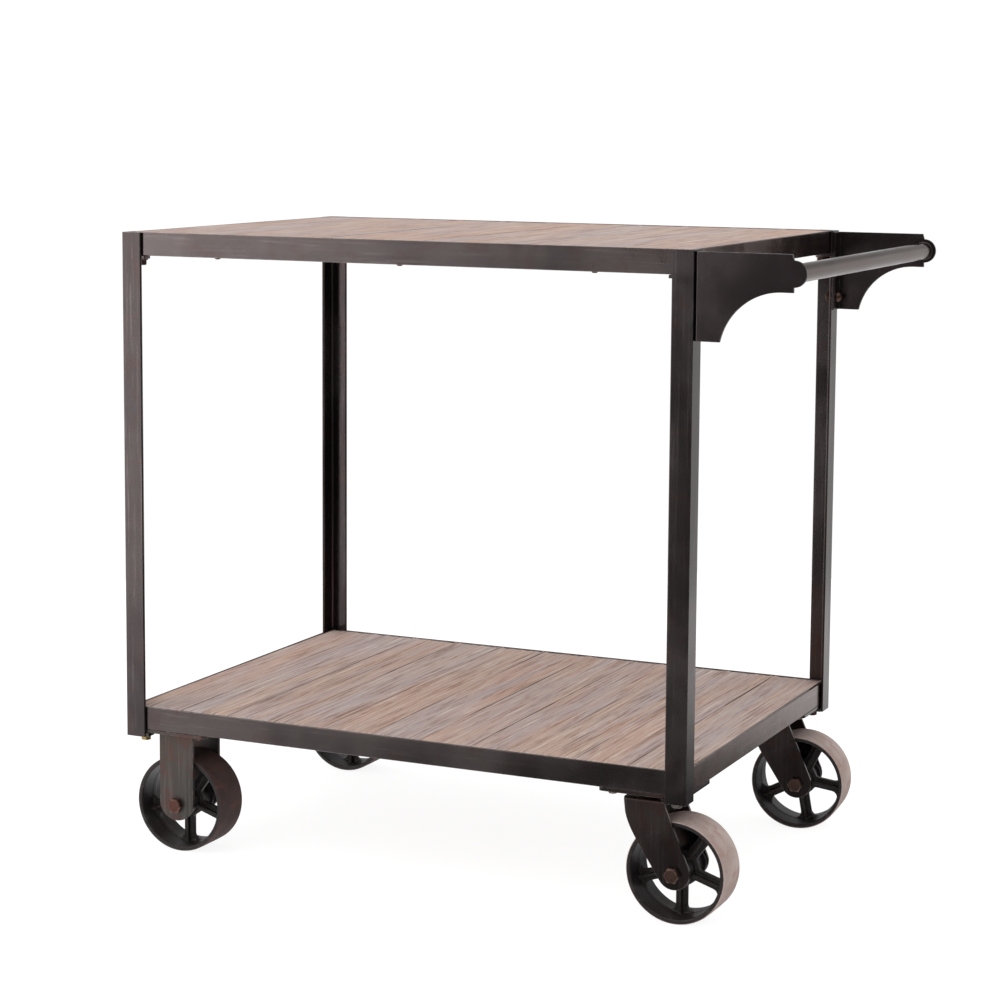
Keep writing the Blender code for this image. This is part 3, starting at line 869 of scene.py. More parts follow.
    def add_knots(self, wiring: Wiring, vector: bpy.types.NodeSocket,
                  tone: bpy.types.NodeSocket) -> bpy.types.NodeSocket:
        """Lay sparse knots, drawn out along the grain, over a colour.

        Args:
            wiring: the material's wiring.
            vector: place on the deck, moved board by board.
            tone: the colour so far.

        Returns:
            The colour with its knots.
        """
        bent = wiring.add("VectorMath", {0: vector, 1: (1.0, 0.42, 0.0)}, operation="MULTIPLY").outputs[0]
        cells = wiring.add("TexVoronoi", {"Vector": bent, "Scale": 5.5, "Randomness": 1.0})
        chosen = wiring.add("SeparateColor", {"Color": cells.outputs["Color"]}).outputs[0]
        few = wiring.spread(chosen, 0.72, 0.76)
        near = wiring.spread(cells.outputs["Distance"], 0.11, 0.02)
        return wiring.mix(wiring.product(wiring.product(few, near), 0.8), tone, self.knot)


Finish = Lacquer | CastIron | Fastener | LimedWood


@dataclass
class Stock:
    """Every finish of the cart, built once."""

    groups: Groups
    made: dict[str, bpy.types.Material] = field(default_factory=dict)

    def of(self, finish: Finish) -> bpy.types.Material:
        """Return a finish's material, building it the first time.

        Args:
            finish: the finish.

        Returns:
            The material.
        """
        if finish.name not in self.made:
            self.made[finish.name] = finish.build(self.groups)
        return self.made[finish.name]


POST_STEEL = Lacquer("post_steel", Run.Z, dark=tint("423b3b"), light=tint("575050"))
LONG_RAIL_STEEL = Lacquer("long_rail_steel", Run.X)
# End rails get a lighter, redder copy of the rail steel: the lighter tone is painted light for their lit end
# faces, and the redder rub is patina.
END_RAIL_STEEL_PAINTED_LIGHT = Lacquer("end_rail_steel", Run.Y, dark=tint("5a4c48"), light=tint("7b6964"),
                         rub_share=0.5)
BRACKET_STEEL = Lacquer("bracket_steel", Run.Z, dark=tint("4a4344"), light=tint("524a4a"), across=20.0,
                        rub_share=0.12, streak_share=0.03)
FORK_STEEL = Lacquer("fork_steel", Run.Z, dark=tint("443e3d"), light=tint("574e4c"), rub_share=0.55)
PATINA_STEEL = Lacquer("patina_steel", Run.Z, dark=tint("424341"), light=tint("5a524e"),
                       rub=tint("654540"), rub_share=0.6, roughness=0.42, metallic=0.8)
BAR_STEEL = Lacquer("bar_steel", Run.Y, dark=tint("43322d"), light=tint("5a4841"), roughness=0.15,
                    rub_share=0.2, streak_share=0.08, metallic=0.92)
BRONZED = Fastener("bronzed", body=tint("57433c"))
RED_BRONZED = Fastener("red_bronzed", body=tint("64443c"), dirt=tint("402822"))
YELLOW_ZINC = Fastener("yellow_zinc", body=tint("a8905e"), dirt=tint("4d3b26"), edge=tint("efe0b4"))
BRIGHT_ZINC = Fastener("bright_zinc", body=tint("9c9692"), dirt=tint("4a4441"), edge=tint("ffffff"),
                       roughness=0.28)


# The cart

@dataclass
class Assembly:
    """Sub-assembly of the cart."""

    stock: Stock

    def fit(self, piece: bpy.types.Object, finish: Finish | None, body: str, slot: Slot,
            *nodes: str) -> None:
        """Dress a piece, set it on its body and let it stand for its frame nodes.

        Args:
            piece: the finished piece.
            finish: its finish, or None where its faces are dressed already.
            body: name of the body that it moves with.
            slot: the record's slot that its finish belongs to; not used.
            nodes: frame nodes that it takes the place of.
        """
        if finish is not None:
            piece.data.materials.clear()
            piece.data.materials.append(self.stock.of(finish))
        even_out(piece)
        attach(piece, body)
        if nodes:
            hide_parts(*nodes)
        log.info("%s on %s, %d faces", piece.name, body, len(piece.data.polygons))


@dataclass
class Posts(Assembly):
    """Four rolled-angle posts with their welded corner gussets."""

    width: float = 0.030
    wall: float = 0.004
    heel_radius: float = 0.0009
    toe_radius: float = 0.0016
    root_radius: float = 0.003
    gusset: float = 0.031
    gusset_cut: float = 0.018
    gusset_thickness: float = 0.0045
    bead_radius: float = 0.0013
    bead_start: float = 0.007
    bead_end: float = 0.029

    def build(self) -> None:
        """Build and dress every post."""
        for end in End:
            for side in Side:
                self.build_post(end, side)

    def build_post(self, end: End, side: Side) -> None:
        """Build one post with its gussets and welds.

        Args:
            end: the post's end of the cart.
            side: its side of the cart.
        """
        node = f"post_{side.label}_{end.label}"
        low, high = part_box(node)
        width = self.width
        corner = Vector((low.x if end is End.LEFT else high.x, low.y if side is Side.FRONT else high.y, 0))
        corners = [(0, 0, self.heel_radius), (width, 0, self.toe_radius),
                   (width, self.wall, self.toe_radius), (self.wall, self.wall, self.root_radius),
                   (self.wall, width, self.toe_radius), (0, width, self.toe_radius)]
        outline = [self.inwards(end, side, corner, u, v) for u, v in filleted(corners)]
        parts = [solid(node, prism(outline, low.z, high.z))]
        ease(parts[0], 0.0005, 2, 60)
        for top in self.gusset_tops():
            parts += self.gusset_with_welds(end, side, corner, top)
        piece = merge(f"{node}_angle", parts)
        self.fit(piece, POST_STEEL, "cart", Slot.IRON, node)

    @staticmethod
    def inwards(end: End, side: Side, corner: Vector, u: float, v: float) -> Point:
        """Place of a point that lies u and v inwards from a post's corner."""
        return corner.x - end.value * u, corner.y - side.value * v

    def gusset_tops(self) -> list[float]:
        """Heights of the gussets' upper faces, one under each deck.

        Returns:
            The lower and the upper height.
        """
        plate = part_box("swivel_plate_front_right")[1].z - PLATE_THICKNESS
        return [plate - GAP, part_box("top_deck_frame")[0].z - GAP]

    def gusset_with_welds(self, end: End, side: Side, corner: Vector, top: float
                          ) -> list[bpy.types.Object]:
        """Gusset plate with a bead along each wall that it is welded to.

        Args:
            end: the post's end of the cart.
            side: its side of the cart.
            corner: its outer corner.
            top: height of the gusset's upper face.

        Returns:
            The plate and the beads.
        """
        near, far = self.wall * 0.5, self.wall + self.gusset
        cut = self.gusset_cut
        corners = [(near, near, 0), (far, near, 0.001), (far, far - cut, 0.002), (far - cut, far, 0.002),
                   (near, far, 0.001)]
        outline = [self.inwards(end, side, corner, u, v) for u, v in filleted(corners)]
        plate = solid("gusset", prism(outline, top - self.gusset_thickness, top))
        ease(plate, 0.0005)
        under = top - self.gusset_thickness
        beads = []
        for number, swap in enumerate((False, True)):
            ends = []
            for share in (self.bead_start, self.bead_end):
                u, v = (self.wall, share) if swap else (share, self.wall)
                ends.append(Vector((*self.inwards(end, side, corner, u, v), under)))
            beads.append(solid("bead", bead(ends[0], ends[1], self.bead_radius, number + corner.x * 40)))
            settle(beads[-1], 60)
        return [plate, *beads]


@dataclass
class DeckFrames(Assembly):
    """Welded rectangles of rolled angle, with the screws that hold the boards."""

    wall: float = 0.004
    foot: float = 0.030
    heel_radius: float = 0.0010
    toe_radius: float = 0.0016
    root_radius: float = 0.003
    mitre_bead: float = 0.0009
    mitre_inset: float = 0.003
    screw_head: float = 0.0042
    screw_rise: float = 0.0027
    screw_slot: float = 0.001
    screw_places: tuple[float, ...] = (-0.2815, 0.0, 0.2815)

    def build(self) -> None:
        """Build and dress both frames."""
        for deck in ("lower", "top"):
            self.build_frame(f"{deck}_deck_frame")
            self.build_screws(deck)

    def section(self, height: float) -> list[Point]:
        """Angle section of a rail.

        Args:
            height: the rail's height.

        Returns:
            Points as inset from the outer face and height above the foot.
        """
        corners = [(0, 0, self.heel_radius), (self.foot, 0, self.toe_radius),
                   (self.foot, self.wall, self.toe_radius), (self.wall, self.wall, self.root_radius),
                   (self.wall, height, self.toe_radius), (0, height, self.toe_radius * 0.6)]
        return filleted(corners, 5)

    def build_frame(self, node: str) -> None:
        """Sweep the section round the frame and weld its mitres.

        Args:
            node: the frame's node.
        """
        low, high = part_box(node)
        bm = bmesh.new()
        loops = []
        for inset, height in self.section(high.z - low.z):
            left, right = low.x + inset, high.x - inset
            front, back = low.y + inset, high.y - inset
            z = low.z + height
            corners = ((left, front, z), (right, front, z), (right, back, z), (left, back, z))
            loops.append([bm.verts.new(corner) for corner in corners])
        skin(bm, loops, ring=True)
        parts = [solid(node, bm)]
        settle(parts[0])
        mitres = ((low.x, low.y), (high.x, low.y), (high.x, high.y), (low.x, high.y))
        for number, (x, y) in enumerate(mitres):
            inward = Vector((1 if x == low.x else -1, 1 if y == low.y else -1, 0))
            start = Vector((x, y, low.z)) + inward * self.mitre_inset
            stop = start + inward * (self.foot - 2 * self.mitre_inset)
            parts.append(solid("bead", bead(start, stop, self.mitre_bead, number)))
            settle(parts[-1], 60)
        piece = merge(f"{node}_angle", parts)
        piece.data.materials.clear()
        for finish in (LONG_RAIL_STEEL, END_RAIL_STEEL_PAINTED_LIGHT):
            piece.data.materials.append(self.stock.of(finish))
        centre = (low + high) / 2
        reach = (high - low) / 2
        # Faces near the ends take the end-rail steel, lighter with painted light; faces along the sides take
        # the long-rail steel.
        for face in piece.data.polygons:
            off = face.center - centre
            inside_x, inside_y = reach.x - abs(off.x), reach.y - abs(off.y)
            face.material_index = 1 if inside_x < inside_y else 0
        self.fit(piece, None, "cart", Slot.IRON, node)

    def build_screws(self, deck: str) -> None:
        """Pan-headed screws up through the foot of both long rails.

        Args:
            deck: lower or top.
        """
        low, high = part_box(f"{deck}_deck_frame")
        centre = (low.x + high.x) / 2
        radius, rise, slot = self.screw_head, self.screw_rise, self.screw_slot / 2
        profile = [(0.0018, 0), (radius, 0), (radius, -rise * 0.35), (radius * 0.82, -rise * 0.78),
                   (radius * 0.45, -rise * 0.98), (0.0006, -rise)]
        for side in Side:
            y = (low.y if side is Side.FRONT else high.y) - side.value * self.foot * 0.5
            heads = []
            for place in self.screw_places:
                head = solid("head", lathe(profile, 28), Matrix.Translation((centre + place, y, low.z)))
                cut = [(-radius, -slot), (radius, -slot), (radius, slot), (-radius, slot)]
                work(head, [prism(cut, -rise * 1.5, -rise * 0.6)], "DIFFERENCE")
                heads.append(head)
            piece = merge(f"{deck}_screws_{side.label}", heads)
            self.fit(piece, BRONZED, "cart", Slot.BOLT)


@dataclass
class Boards(Assembly):
    """Weathered boards of one deck, with worn arrises and frayed ends."""

    deck: str = "top"
    seed: float = 3.0
    arris: float = 0.0003
    arris_wear: float = 0.0013
    widen: float = 0.00035
    cup: float = 0.0003
    relief: float = 0.00016
    uneven: float = 0.0005
    fray_depth: float = 0.0020
    fray_reach: float = 0.008
    across: int = 14
    along: int = 110

    def build(self) -> None:
        """Build and dress every board of the deck."""
        nodes = sorted(name for name in frame["nodes"] if name.startswith(f"{self.deck}_plank_"))
        first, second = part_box(nodes[0]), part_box(nodes[1])
        pitch = second[0].x - first[0].x
        gap = pitch - (first[1].x - first[0].x)
        finish = LimedWood(f"limed_wood_{self.deck}", pitch, first[0].x - gap / 2, self.seed)
        for number, node in enumerate(nodes):
            board = self.build_board(node, number + self.seed * 10)
            self.fit(board, finish, "cart", Slot.WOOD, node)

    def wear(self, x: float, y: float, key: float) -> float:
        """Depth worn off an arris.

        Args:
            x: place along X.
            y: place along Y.
            key: number that makes each board its own.

        Returns:
            The depth, between nothing and the full wear.
        """
        wave = 1.5 * noise.noise((x * 9, y * 6, key)) + 0.5 * noise.noise((x * 30, y * 50, key + 5))
        return self.arris_wear * max(0.0, min(1.0, 0.35 + wave))

    def build_board(self, node: str, key: float) -> bpy.types.Object:
        """Skin one board from cross-sections along its length.

        Args:
            node: the board's node.
            key: number that makes each board its own.

        Returns:
            The board.
        """
        low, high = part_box(node)
        drop = self.uneven * (0.5 + 0.5 * noise.noise((key * 3.3, 1.7, 0.4)))
        half = (high.x - low.x) / 2 + self.widen
        middle = (high.x + low.x) / 2
        bm = bmesh.new()
        loops = []
        for row in range(self.along + 1):
            y = low.y + (high.y - low.y) * row / self.along
            from_end = min(y - low.y, high.y - y)
            fray = self.fray_depth * max(0.0, 1 - from_end / self.fray_reach)
            loops.append(self.section(bm, middle, half, y, low.z, high.z - drop, fray, key))
        skin(bm, loops)
        board = solid(f"{node}_board", bm)
        settle(board, 50)
        return board

    def section(self, bm: bmesh.types.BMesh, middle: float, half: float, y: float, low: float,
                high: float, fray: float, key: float) -> Loop:
        """Add one cross-section of a board.

        Args:
            bm: mesh under construction.
            middle: board's centre along X.
            half: half its width.
            y: place of the section along the board.
            low: height of the underside.
            high: height of the upper face.
            fray: extra wear near a board's end.
            key: number that makes each board its own.

        Returns:
            The section's vertices in order.
        """
        corners = [(middle + half, low), (middle - half, low)]
        for edge in (-1, 1):
            depth = self.arris + self.wear(middle + edge * half, y, key) + fray
            rim = [(middle + edge * (half - depth * inwards), high - depth * down)
                   for inwards, down in ((0.0, 1.0), (0.25, 0.4), (0.8, 0.08))]
            if edge < 0:
                corners += rim
                span = half - self.arris - self.arris_wear
                for step in range(1, self.across):
                    x = middle - span + 2 * span * step / self.across
                    height = self.face_height(x, y, middle, half, high, key)
                    corners.append((x, height - fray * self.nibble(x, y)))
            else:
                corners += reversed(rim)
        return [bm.verts.new((x, y, z)) for x, z in corners]

    def face_height(self, x: float, y: float, middle: float, half: float, high: float,
                    key: float) -> float:
        """Height of the upper face, cupped and with raised grain.

        Args:
            x: place along X.
            y: place along Y.
            middle: board's centre along X.
            half: half its width.
            high: height of its box.
            key: number that makes each board its own.

        Returns:
            The height.
        """
        share = (x - middle) / half
        grain = noise.noise((x * 420, y * 7, key)) + 0.5 * noise.noise((x * 900, y * 16, key))
        return high - self.cup * share * share - self.relief * (0.75 + 0.5 * grain)

    @staticmethod
    def nibble(x: float, y: float) -> float:
        """How ragged a board's end is at a place."""
        return 0.55 + 0.45 * noise.noise((x * 320, y * 90, 2.0))


@dataclass
class Handle(Assembly):
    """Push bar between two bracket plates bolted to the right-hand posts."""

    sheet: float = 0.004
    bend_radius: float = 0.0035
    nose_radius: float = 0.017
    nose_drop: float = 0.0245
    lip: float = 0.048
    lip_run: float = 0.015
    sweep_radius: float = 0.083
    tube_wall: float = 0.002
    tube_ease: float = 0.0005
    tube_rows: int = 40
    end_weld: float = 0.0014
    end_weld_inset: float = 0.0006
    dome: float = 0.0078
    dome_rings: int = 8
    bolt_shank: float = 0.004
    nut_bore: float = 0.0042

    def build(self) -> None:
        """Build and dress brackets, bar, bolts and nuts."""
        for side in Side:
            self.build_bracket(side)
            self.build_bolt(side)
            self.build_nut(side)
        self.build_bar()

    def outline(self, low: Vector, high: Vector) -> list[Point]:
        """Side view of a bracket, with its nose, step and sweeping lower edge.

        Args:
            low: lower corner of the bracket's box.
            high: upper corner of its box.

        Returns:
            Points in XZ.
        """
        nose_x = high.x - self.nose_radius
        nose = (nose_x, high.z - self.nose_drop)
        top, bottom = (nose_x, nose[1] + self.nose_radius), (nose_x, nose[1] - self.nose_radius)
        start_x = nose_x - self.lip_run
        lip_z = high.z - self.lip
        centre = (start_x, lip_z - self.sweep_radius)
        fall = centre[1] + self.sweep_radius - low.z
        reach = math.sqrt(self.sweep_radius ** 2 - (self.sweep_radius - fall) ** 2)
        tip = (nose_x + self.nose_radius, nose[1])
        points = filleted([(low.x, low.z, 0), (low.x, high.z, 0), (nose_x, high.z, 0.001)], 3)
        points += arc_to(nose, top, tip, 18) + arc_to(nose, tip, bottom, 18)[1:]
        points += [(nose_x, lip_z)]
        points += arc_to(centre, (start_x, lip_z), (start_x - reach, low.z), 36)
        return points

    def build_bracket(self, side: Side) -> None:
        """Cut the plate, turn its flange in and ease its edges.

        Args:
            side: the bracket's side of the cart.
        """
        node = f"handle_bracket_{side.label}"
        low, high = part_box(node)
        outer = low.y if side is Side.FRONT else high.y
        inner = outer - side.value * self.sheet
        edge = high.y if side is Side.FRONT else low.y
        plate = solid(node, prism(self.outline(low, high), min(outer, inner), max(outer, inner), Run.Y))
        middle = (outer + inner) / 2
        first, last = min(middle, edge), max(middle, edge)
        corners = [(low.x, first), (low.x + self.sheet, first), (low.x + self.sheet, last), (low.x, last)]
        work(plate, [prism(corners, low.z, high.z)], "UNION")
        self.round_bend(plate, low.x, outer)
        ease(plate, 0.0005, 2)
        plate.name = f"{node}_plate"
        self.fit(plate, BRACKET_STEEL, "cart", Slot.IRON, node)

    def round_bend(self, plate: bpy.types.Object, x: float, y: float) -> None:
        """Round the outer corner where the flange is bent from the plate.

        Args:
            plate: the bracket.
            x: place of the corner along X.
            y: its place along Y.
        """
        bm = bmesh.new()
        bm.from_mesh(plate.data)
        bmesh.ops.dissolve_limit(bm, angle_limit=0.01, verts=bm.verts, edges=bm.edges)
        chosen = [edge for edge in bm.edges
                  if all(abs(vert.co.x - x) < 1e-5 and abs(vert.co.y - y) < 1e-5 for vert in edge.verts)]
        bmesh.ops.bevel(bm, geom=chosen, offset=self.bend_radius, segments=5, profile=0.5, affect="EDGES")
        bm.to_mesh(plate.data)
        bm.free()

    def build_bar(self) -> None:
        """Drawn tube with eased ends, and the weld ring at each end."""
        low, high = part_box("handle_bar")
        radius = (high.z - low.z) / 2
        bore = radius - self.tube_wall
        half = (high.y - low.y) / 2
        ease_by = self.tube_ease
        profile = [(bore, -half), (radius - ease_by, -half), (radius, -half + ease_by)]
        for row in range(1, self.tube_rows):
            y = -half + 2 * half * row / self.tube_rows
            profile.append((radius - 0.00008 * noise.noise((y * 22, 0.3, 0.7)), y))
        profile += [(radius, half - ease_by), (radius - ease_by, half), (bore, half)]
        place = Matrix.Translation((low + high) / 2)
        bar = solid("handle_bar_tube", lathe(profile, 72, Run.Y, hollow=True), place)
        settle(bar)
        self.fit(bar, BAR_STEEL, "cart", Slot.BAR, "handle_bar")
        for side in Side:
            ring = self.weld_ring(radius, side, half)
            piece = solid(f"handle_weld_{side.label}", ring, place)
            settle(piece, 60)
            self.fit(piece, BRACKET_STEEL, "cart", Slot.IRON)

    def weld_ring(self, radius: float, side: Side, half: float) -> bmesh.types.BMesh:
        """Rippled fillet round the end of the bar.

        Args:
            radius: the bar's radius.
            side: which end of the bar.
            half: half the bar's length.

        Returns:
            A closed solid.
        """
        bm = bmesh.new()
        loops = []
        around, segments = 90, 8
        for step in range(around):
            turn = 2 * math.pi * step / around
            ripple = 0.18 * math.sin(step * 1.7) + 0.2 * noise.noise((step * 0.5, side.value, 0))
            size = self.end_weld * (1 + ripple)
            loop = []
            for part in range(segments):
                angle = 2 * math.pi * part / segments
                reach = radius + size * math.cos(angle)
                y = side.value * (half - self.end_weld_inset) + size * math.sin(angle)
                loop.append(bm.verts.new((reach * math.cos(turn), y, reach * math.sin(turn))))
            loops.append(loop)
        skin(bm, loops, ring=True)
        return bm

    def build_bolt(self, side: Side) -> None:
        """Dome-headed bolt through bracket and post.

        Args:
            side: the bracket's side of the cart.
        """
        node = f"bracket_bolt_{side.label}"
        low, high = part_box(node)
        radius = (high.z - low.z) / 2
        seat = high.x - self.dome
        shank = self.bolt_shank
        profile = [(shank * 0.8, low.x), (shank, low.x + 0.0008), (shank, seat), (radius - 0.0003, seat)]
        for ring in range(self.dome_rings):
            tilt = math.radians(4 + 80 * ring / (self.dome_rings - 1))
            profile.append((radius * math.cos(tilt), seat + self.dome * math.sin(tilt)))
        place = Matrix.Translation((0, (low.y + high.y) / 2, (low.z + high.z) / 2))
        bolt = solid(f"{node}_dome", lathe(profile, 48, Run.X), place)
        settle(bolt, 50)
        self.fit(bolt, BRONZED, "cart", Slot.BOLT, node)

    def build_nut(self, side: Side) -> None:
        """Hex nut inside the post.

        Args:
            side: the bracket's side of the cart.
        """
        node = f"bracket_nut_{side.label}"
        low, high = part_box(node)
        shape = hex_nut(self.nut_bore, (high.z - low.z) / 2, low.x, high.x, Run.X)
        place = Matrix.Translation((0, (low.y + high.y) / 2, (low.z + high.z) / 2))
        nut = solid(f"{node}_hex", shape, place)
        settle(nut, 30)
        self.fit(nut, BRONZED, "cart", Slot.BOLT, node)


def hex_nut(bore: float, apothem: float, low: float, high: float, run: Run) -> bmesh.types.BMesh:
    """Chamfered hex nut.

    Args:
        bore: radius of its hole.
        apothem: half its width across flats.
        low: where it starts along its axis.
        high: where it ends.
        run: its axis.

    Returns:
        A closed solid.
    """
    step = apothem * 0.14
    profile = [(bore, low + 0.0003), (bore + 0.0004, low), (apothem * 0.95, low), (apothem, low + step),
               (apothem, high - step), (apothem * 0.95, high), (bore + 0.0004, high), (bore, high - 0.0003)]
    return lathe(profile, 48, run, hollow=True, flats=(3, 4))


def hex_bolt(apothem: float, head: Point, shank: float, tip: float, run: Run,
             flange: tuple[float, float] | None = None) -> bmesh.types.BMesh:
    """Hex bolt with a chamfered head, its seat facing along its axis.

    Args:
        apothem: half its width across flats.
        head: where the head starts and where it seats along its axis.
        shank: radius of its shank.
        tip: where the shank ends.
        run: its axis.
        flange: radius and thickness of a washer face under the head, if it has one.

    Returns:
        A closed solid.
    """
    low, seat = head
    way = 1 if tip > seat else -1
    step = way * apothem * 0.14
    root = seat - way * (flange[1] if flange else 0.0)
    profile = [(apothem * 0.35, low), (apothem * 0.88, low), (apothem, low + step), (apothem, root)]
    if flange:
        radius = flange[0]
        profile += [(radius - 0.0004, root), (radius, root + way * 0.0004), (radius, seat)]
    profile += [(shank, seat), (shank, tip - way * 0.0008), (shank * 0.8, tip)]
    return lathe(profile, 48, run, flats=(2, 3))


@dataclass
class CornerBolts(Assembly):
    """Bolts up through the gussets, at the lower and at the upper deck."""

    apothem: float = 0.0065
    head: float = 0.007
    flange: tuple[float, float] = (0.0088, 0.0018)
    shank: float = 0.004
    foot_wall: float = 0.004

    def build(self) -> None:
        """Build and dress all eight bolts."""
        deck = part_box("top_deck_frame")[0].z
        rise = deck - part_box("lower_deck_frame")[0].z + PLATE_THICKNESS
        for end in End:
            for side in Side:
                node = f"corner_bolt_{side.label}_{end.label}"
                low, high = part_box(node)
                middle = (low + high) / 2
                place = Matrix.Translation((middle.x, middle.y, 0))
                bolt = self.bolt(f"{node}_hex", low.z, high.z, place)
                self.fit(bolt, self.finish_of(end, side), "cart", Slot.BOLT, node)
                bolt = self.bolt(f"upper_{node}_hex", low.z + rise, deck + self.foot_wall, place)
                self.fit(bolt, BRONZED, "cart", Slot.BOLT)

    def bolt(self, name: str, low: float, tip: float, place: Matrix) -> bpy.types.Object:
        """Bolt that points up.

        Args:
            name: the bolt's name.
            low: height of its head's end.
            tip: height of its shank's end.
            place: its place in the plan.

        Returns:
            The bolt.
        """
        seat = low + self.head + self.flange[1]
        bolt = solid(name, hex_bolt(self.apothem, (low, seat), self.shank, tip, Run.Z, self.flange), place)
        settle(bolt, 30)
        return bolt

    @staticmethod
    def finish_of(end: End, side: Side) -> Fastener:
        """Plating of a lower corner bolt.

        Args:
            end: the bolt's end of the cart.
            side: its side of the cart.

        Returns:
            The finish.
        """
        if end is End.LEFT:
            return YELLOW_ZINC
        return BRIGHT_ZINC if side is Side.FRONT else BRONZED


@dataclass
class SpokedWheel:
    """Cast wheel: wide rim, ribbed spokes with rounded windows, and a bored hub."""

    radius: float = 0.069
    width: float = 0.061
    rim: float = 0.0068
    web: float = 0.0040
    spokes: int = 5
    spoke_half: float = 0.0078
    window_inner: float = 0.0235
    window_outer: float = 0.0600
    inner_fillet: float = 0.0035
    outer_fillet: float = 0.0085
    rib_half: float = 0.0022
    rib_depth: float = 0.0115
    hub: float = 0.0175
    hub_collar: float = 0.0225
    hub_length: float = 0.064
    bore: float = 0.0065
    overlap: float = 0.004
    tread_edge: float = 0.0012
    voxel: float = 0.0009
    soft_rounds: int = 5
    kept_faces: float = 0.3

    def mesh(self) -> bpy.types.Mesh:
        """Cast the wheel about its own centre, its axle along Y and a spoke straight down.

        Returns:
            The finished mesh.
        """
        reach = self.window_outer + self.overlap
        profile = [(self.bore, -self.web), (reach, -self.web), (reach, self.web), (self.bore, self.web)]
        web = solid("web", lathe(profile, 120, Run.Y, hollow=True))
        windows = [prism(self.window(number), -0.05, 0.05, Run.Y) for number in range(self.spokes)]
        work(web, windows, "DIFFERENCE")
        parts = [web, solid("rim", self.rim_shape()), solid("hub", self.hub_shape())]
        parts += [solid("rib", self.rib_shape(number)) for number in range(self.spokes)]
        wheel = merge("cast_wheel", parts)
        fuse = wheel.modifiers.new("fuse", "REMESH")
        fuse.mode = "VOXEL"
        fuse.voxel_size = self.voxel
        soften = wheel.modifiers.new("soften", "SMOOTH")
        soften.factor = 0.5
        soften.iterations = self.soft_rounds
        thin = wheel.modifiers.new("thin", "DECIMATE")
        thin.ratio = self.kept_faces
        settle(wheel, 60)
        mesh = wheel.data
        bpy.data.objects.remove(wheel)
        return mesh

    def angle(self, number: int) -> float:
        """Direction of a spoke in the XZ plane."""
        return -math.pi / 2 + 2 * math.pi * number / self.spokes

    def rim_shape(self) -> bmesh.types.BMesh:
        """Rim with a crowned tread and a bed that thickens to the middle.

        Returns:
            A closed solid.
        """
        half = self.width / 2
        tread, edge = self.radius, self.tread_edge
        bed = tread - self.rim
        profile = [(bed + edge, -half), (tread - edge, -half), (tread - 0.0002, -half + 0.0014),
                   (tread, -half * 0.5), (tread, half * 0.5), (tread - 0.0002, half - 0.0014),
                   (tread - edge, half), (bed + edge, half), (bed, half - 0.0016),
                   (bed - 0.0016, 0.004), (bed - 0.0016, -0.004), (bed, -half + 0.0016)]
        return lathe(profile, 120, Run.Y, hollow=True)

    def hub_shape(self) -> bmesh.types.BMesh:
        """Hub with a collar at each end.

        Returns:
            A closed solid.
        """
        end, collar = self.hub_length / 2, self.hub_collar
        upper = [(self.hub, end - 0.0075), (collar, end - 0.0045), (collar, end - 0.0008),
                 (collar - 0.0008, end), (self.bore, end)]
        lower = [(radius, -height) for radius, height in reversed(upper)]
        return lathe(lower + [(self.hub + 0.002, 0)] + upper, 72, Run.Y, hollow=True)

    def rib_shape(self, number: int) -> bmesh.types.BMesh:
        """Rib that stands proud of a spoke on both faces, lower towards the rim.

        Args:
            number: the spoke.

        Returns:
            A closed solid.
        """
        near, far = self.hub - self.overlap / 2, self.window_outer + self.overlap
        depth, shallow = self.rib_depth, self.rib_depth * 0.75
        rib = prism([(near, -depth), (far, -shallow), (far, shallow), (near, depth)],
                    -self.rib_half, self.rib_half, Run.Z)
        turn = Matrix.Rotation(self.angle(number), 4, "Z")
        upright = Matrix.Rotation(math.radians(90), 4, "X")
        bmesh.ops.transform(rib, matrix=upright @ turn @ upright.inverted(), verts=rib.verts)
        return rib

    def window(self, number: int) -> list[Point]:
        """Rounded window between a spoke and the next one.

        Args:
            number: the first spoke.

        Returns:
            The outline in XZ.
        """
        first = self.window_side(self.angle(number), 1)
        second = self.window_side(self.angle(number + 1), -1)
        outer = arc_to((0, 0), first[-1], second[-1], 12)
        inner = arc_to((0, 0), second[0], first[0], 6)
        return first + outer[1:-1] + second[::-1] + inner[1:-1]

    def window_side(self, angle: float, hand: int) -> list[Point]:
        """Edge of a window along a spoke, from the hub out, with both its fillets.

        Args:
            angle: the spoke's direction.
            hand: 1 or -1, the side of the spoke.

        Returns:
            Points in XZ.
        """
        points: list[Point] = []
        for limit, fillet, outward in ((self.window_inner, self.inner_fillet, 1),
                                       (self.window_outer, self.outer_fillet, -1)):
            off = self.spoke_half + fillet
            distance = limit + outward * fillet
            centre = (math.sqrt(distance ** 2 - off ** 2), off)
            on_circle = (centre[0] * limit / distance, centre[1] * limit / distance)
            on_spoke = (centre[0], self.spoke_half)
            ends = (on_circle, on_spoke) if outward > 0 else (on_spoke, on_circle)
            points += arc_to(centre, *ends, 8)
        cosine, sine = math.cos(angle), math.sin(angle)
        return [(u * cosine - hand * v * sine, u * sine + hand * v * cosine) for u, v in points]


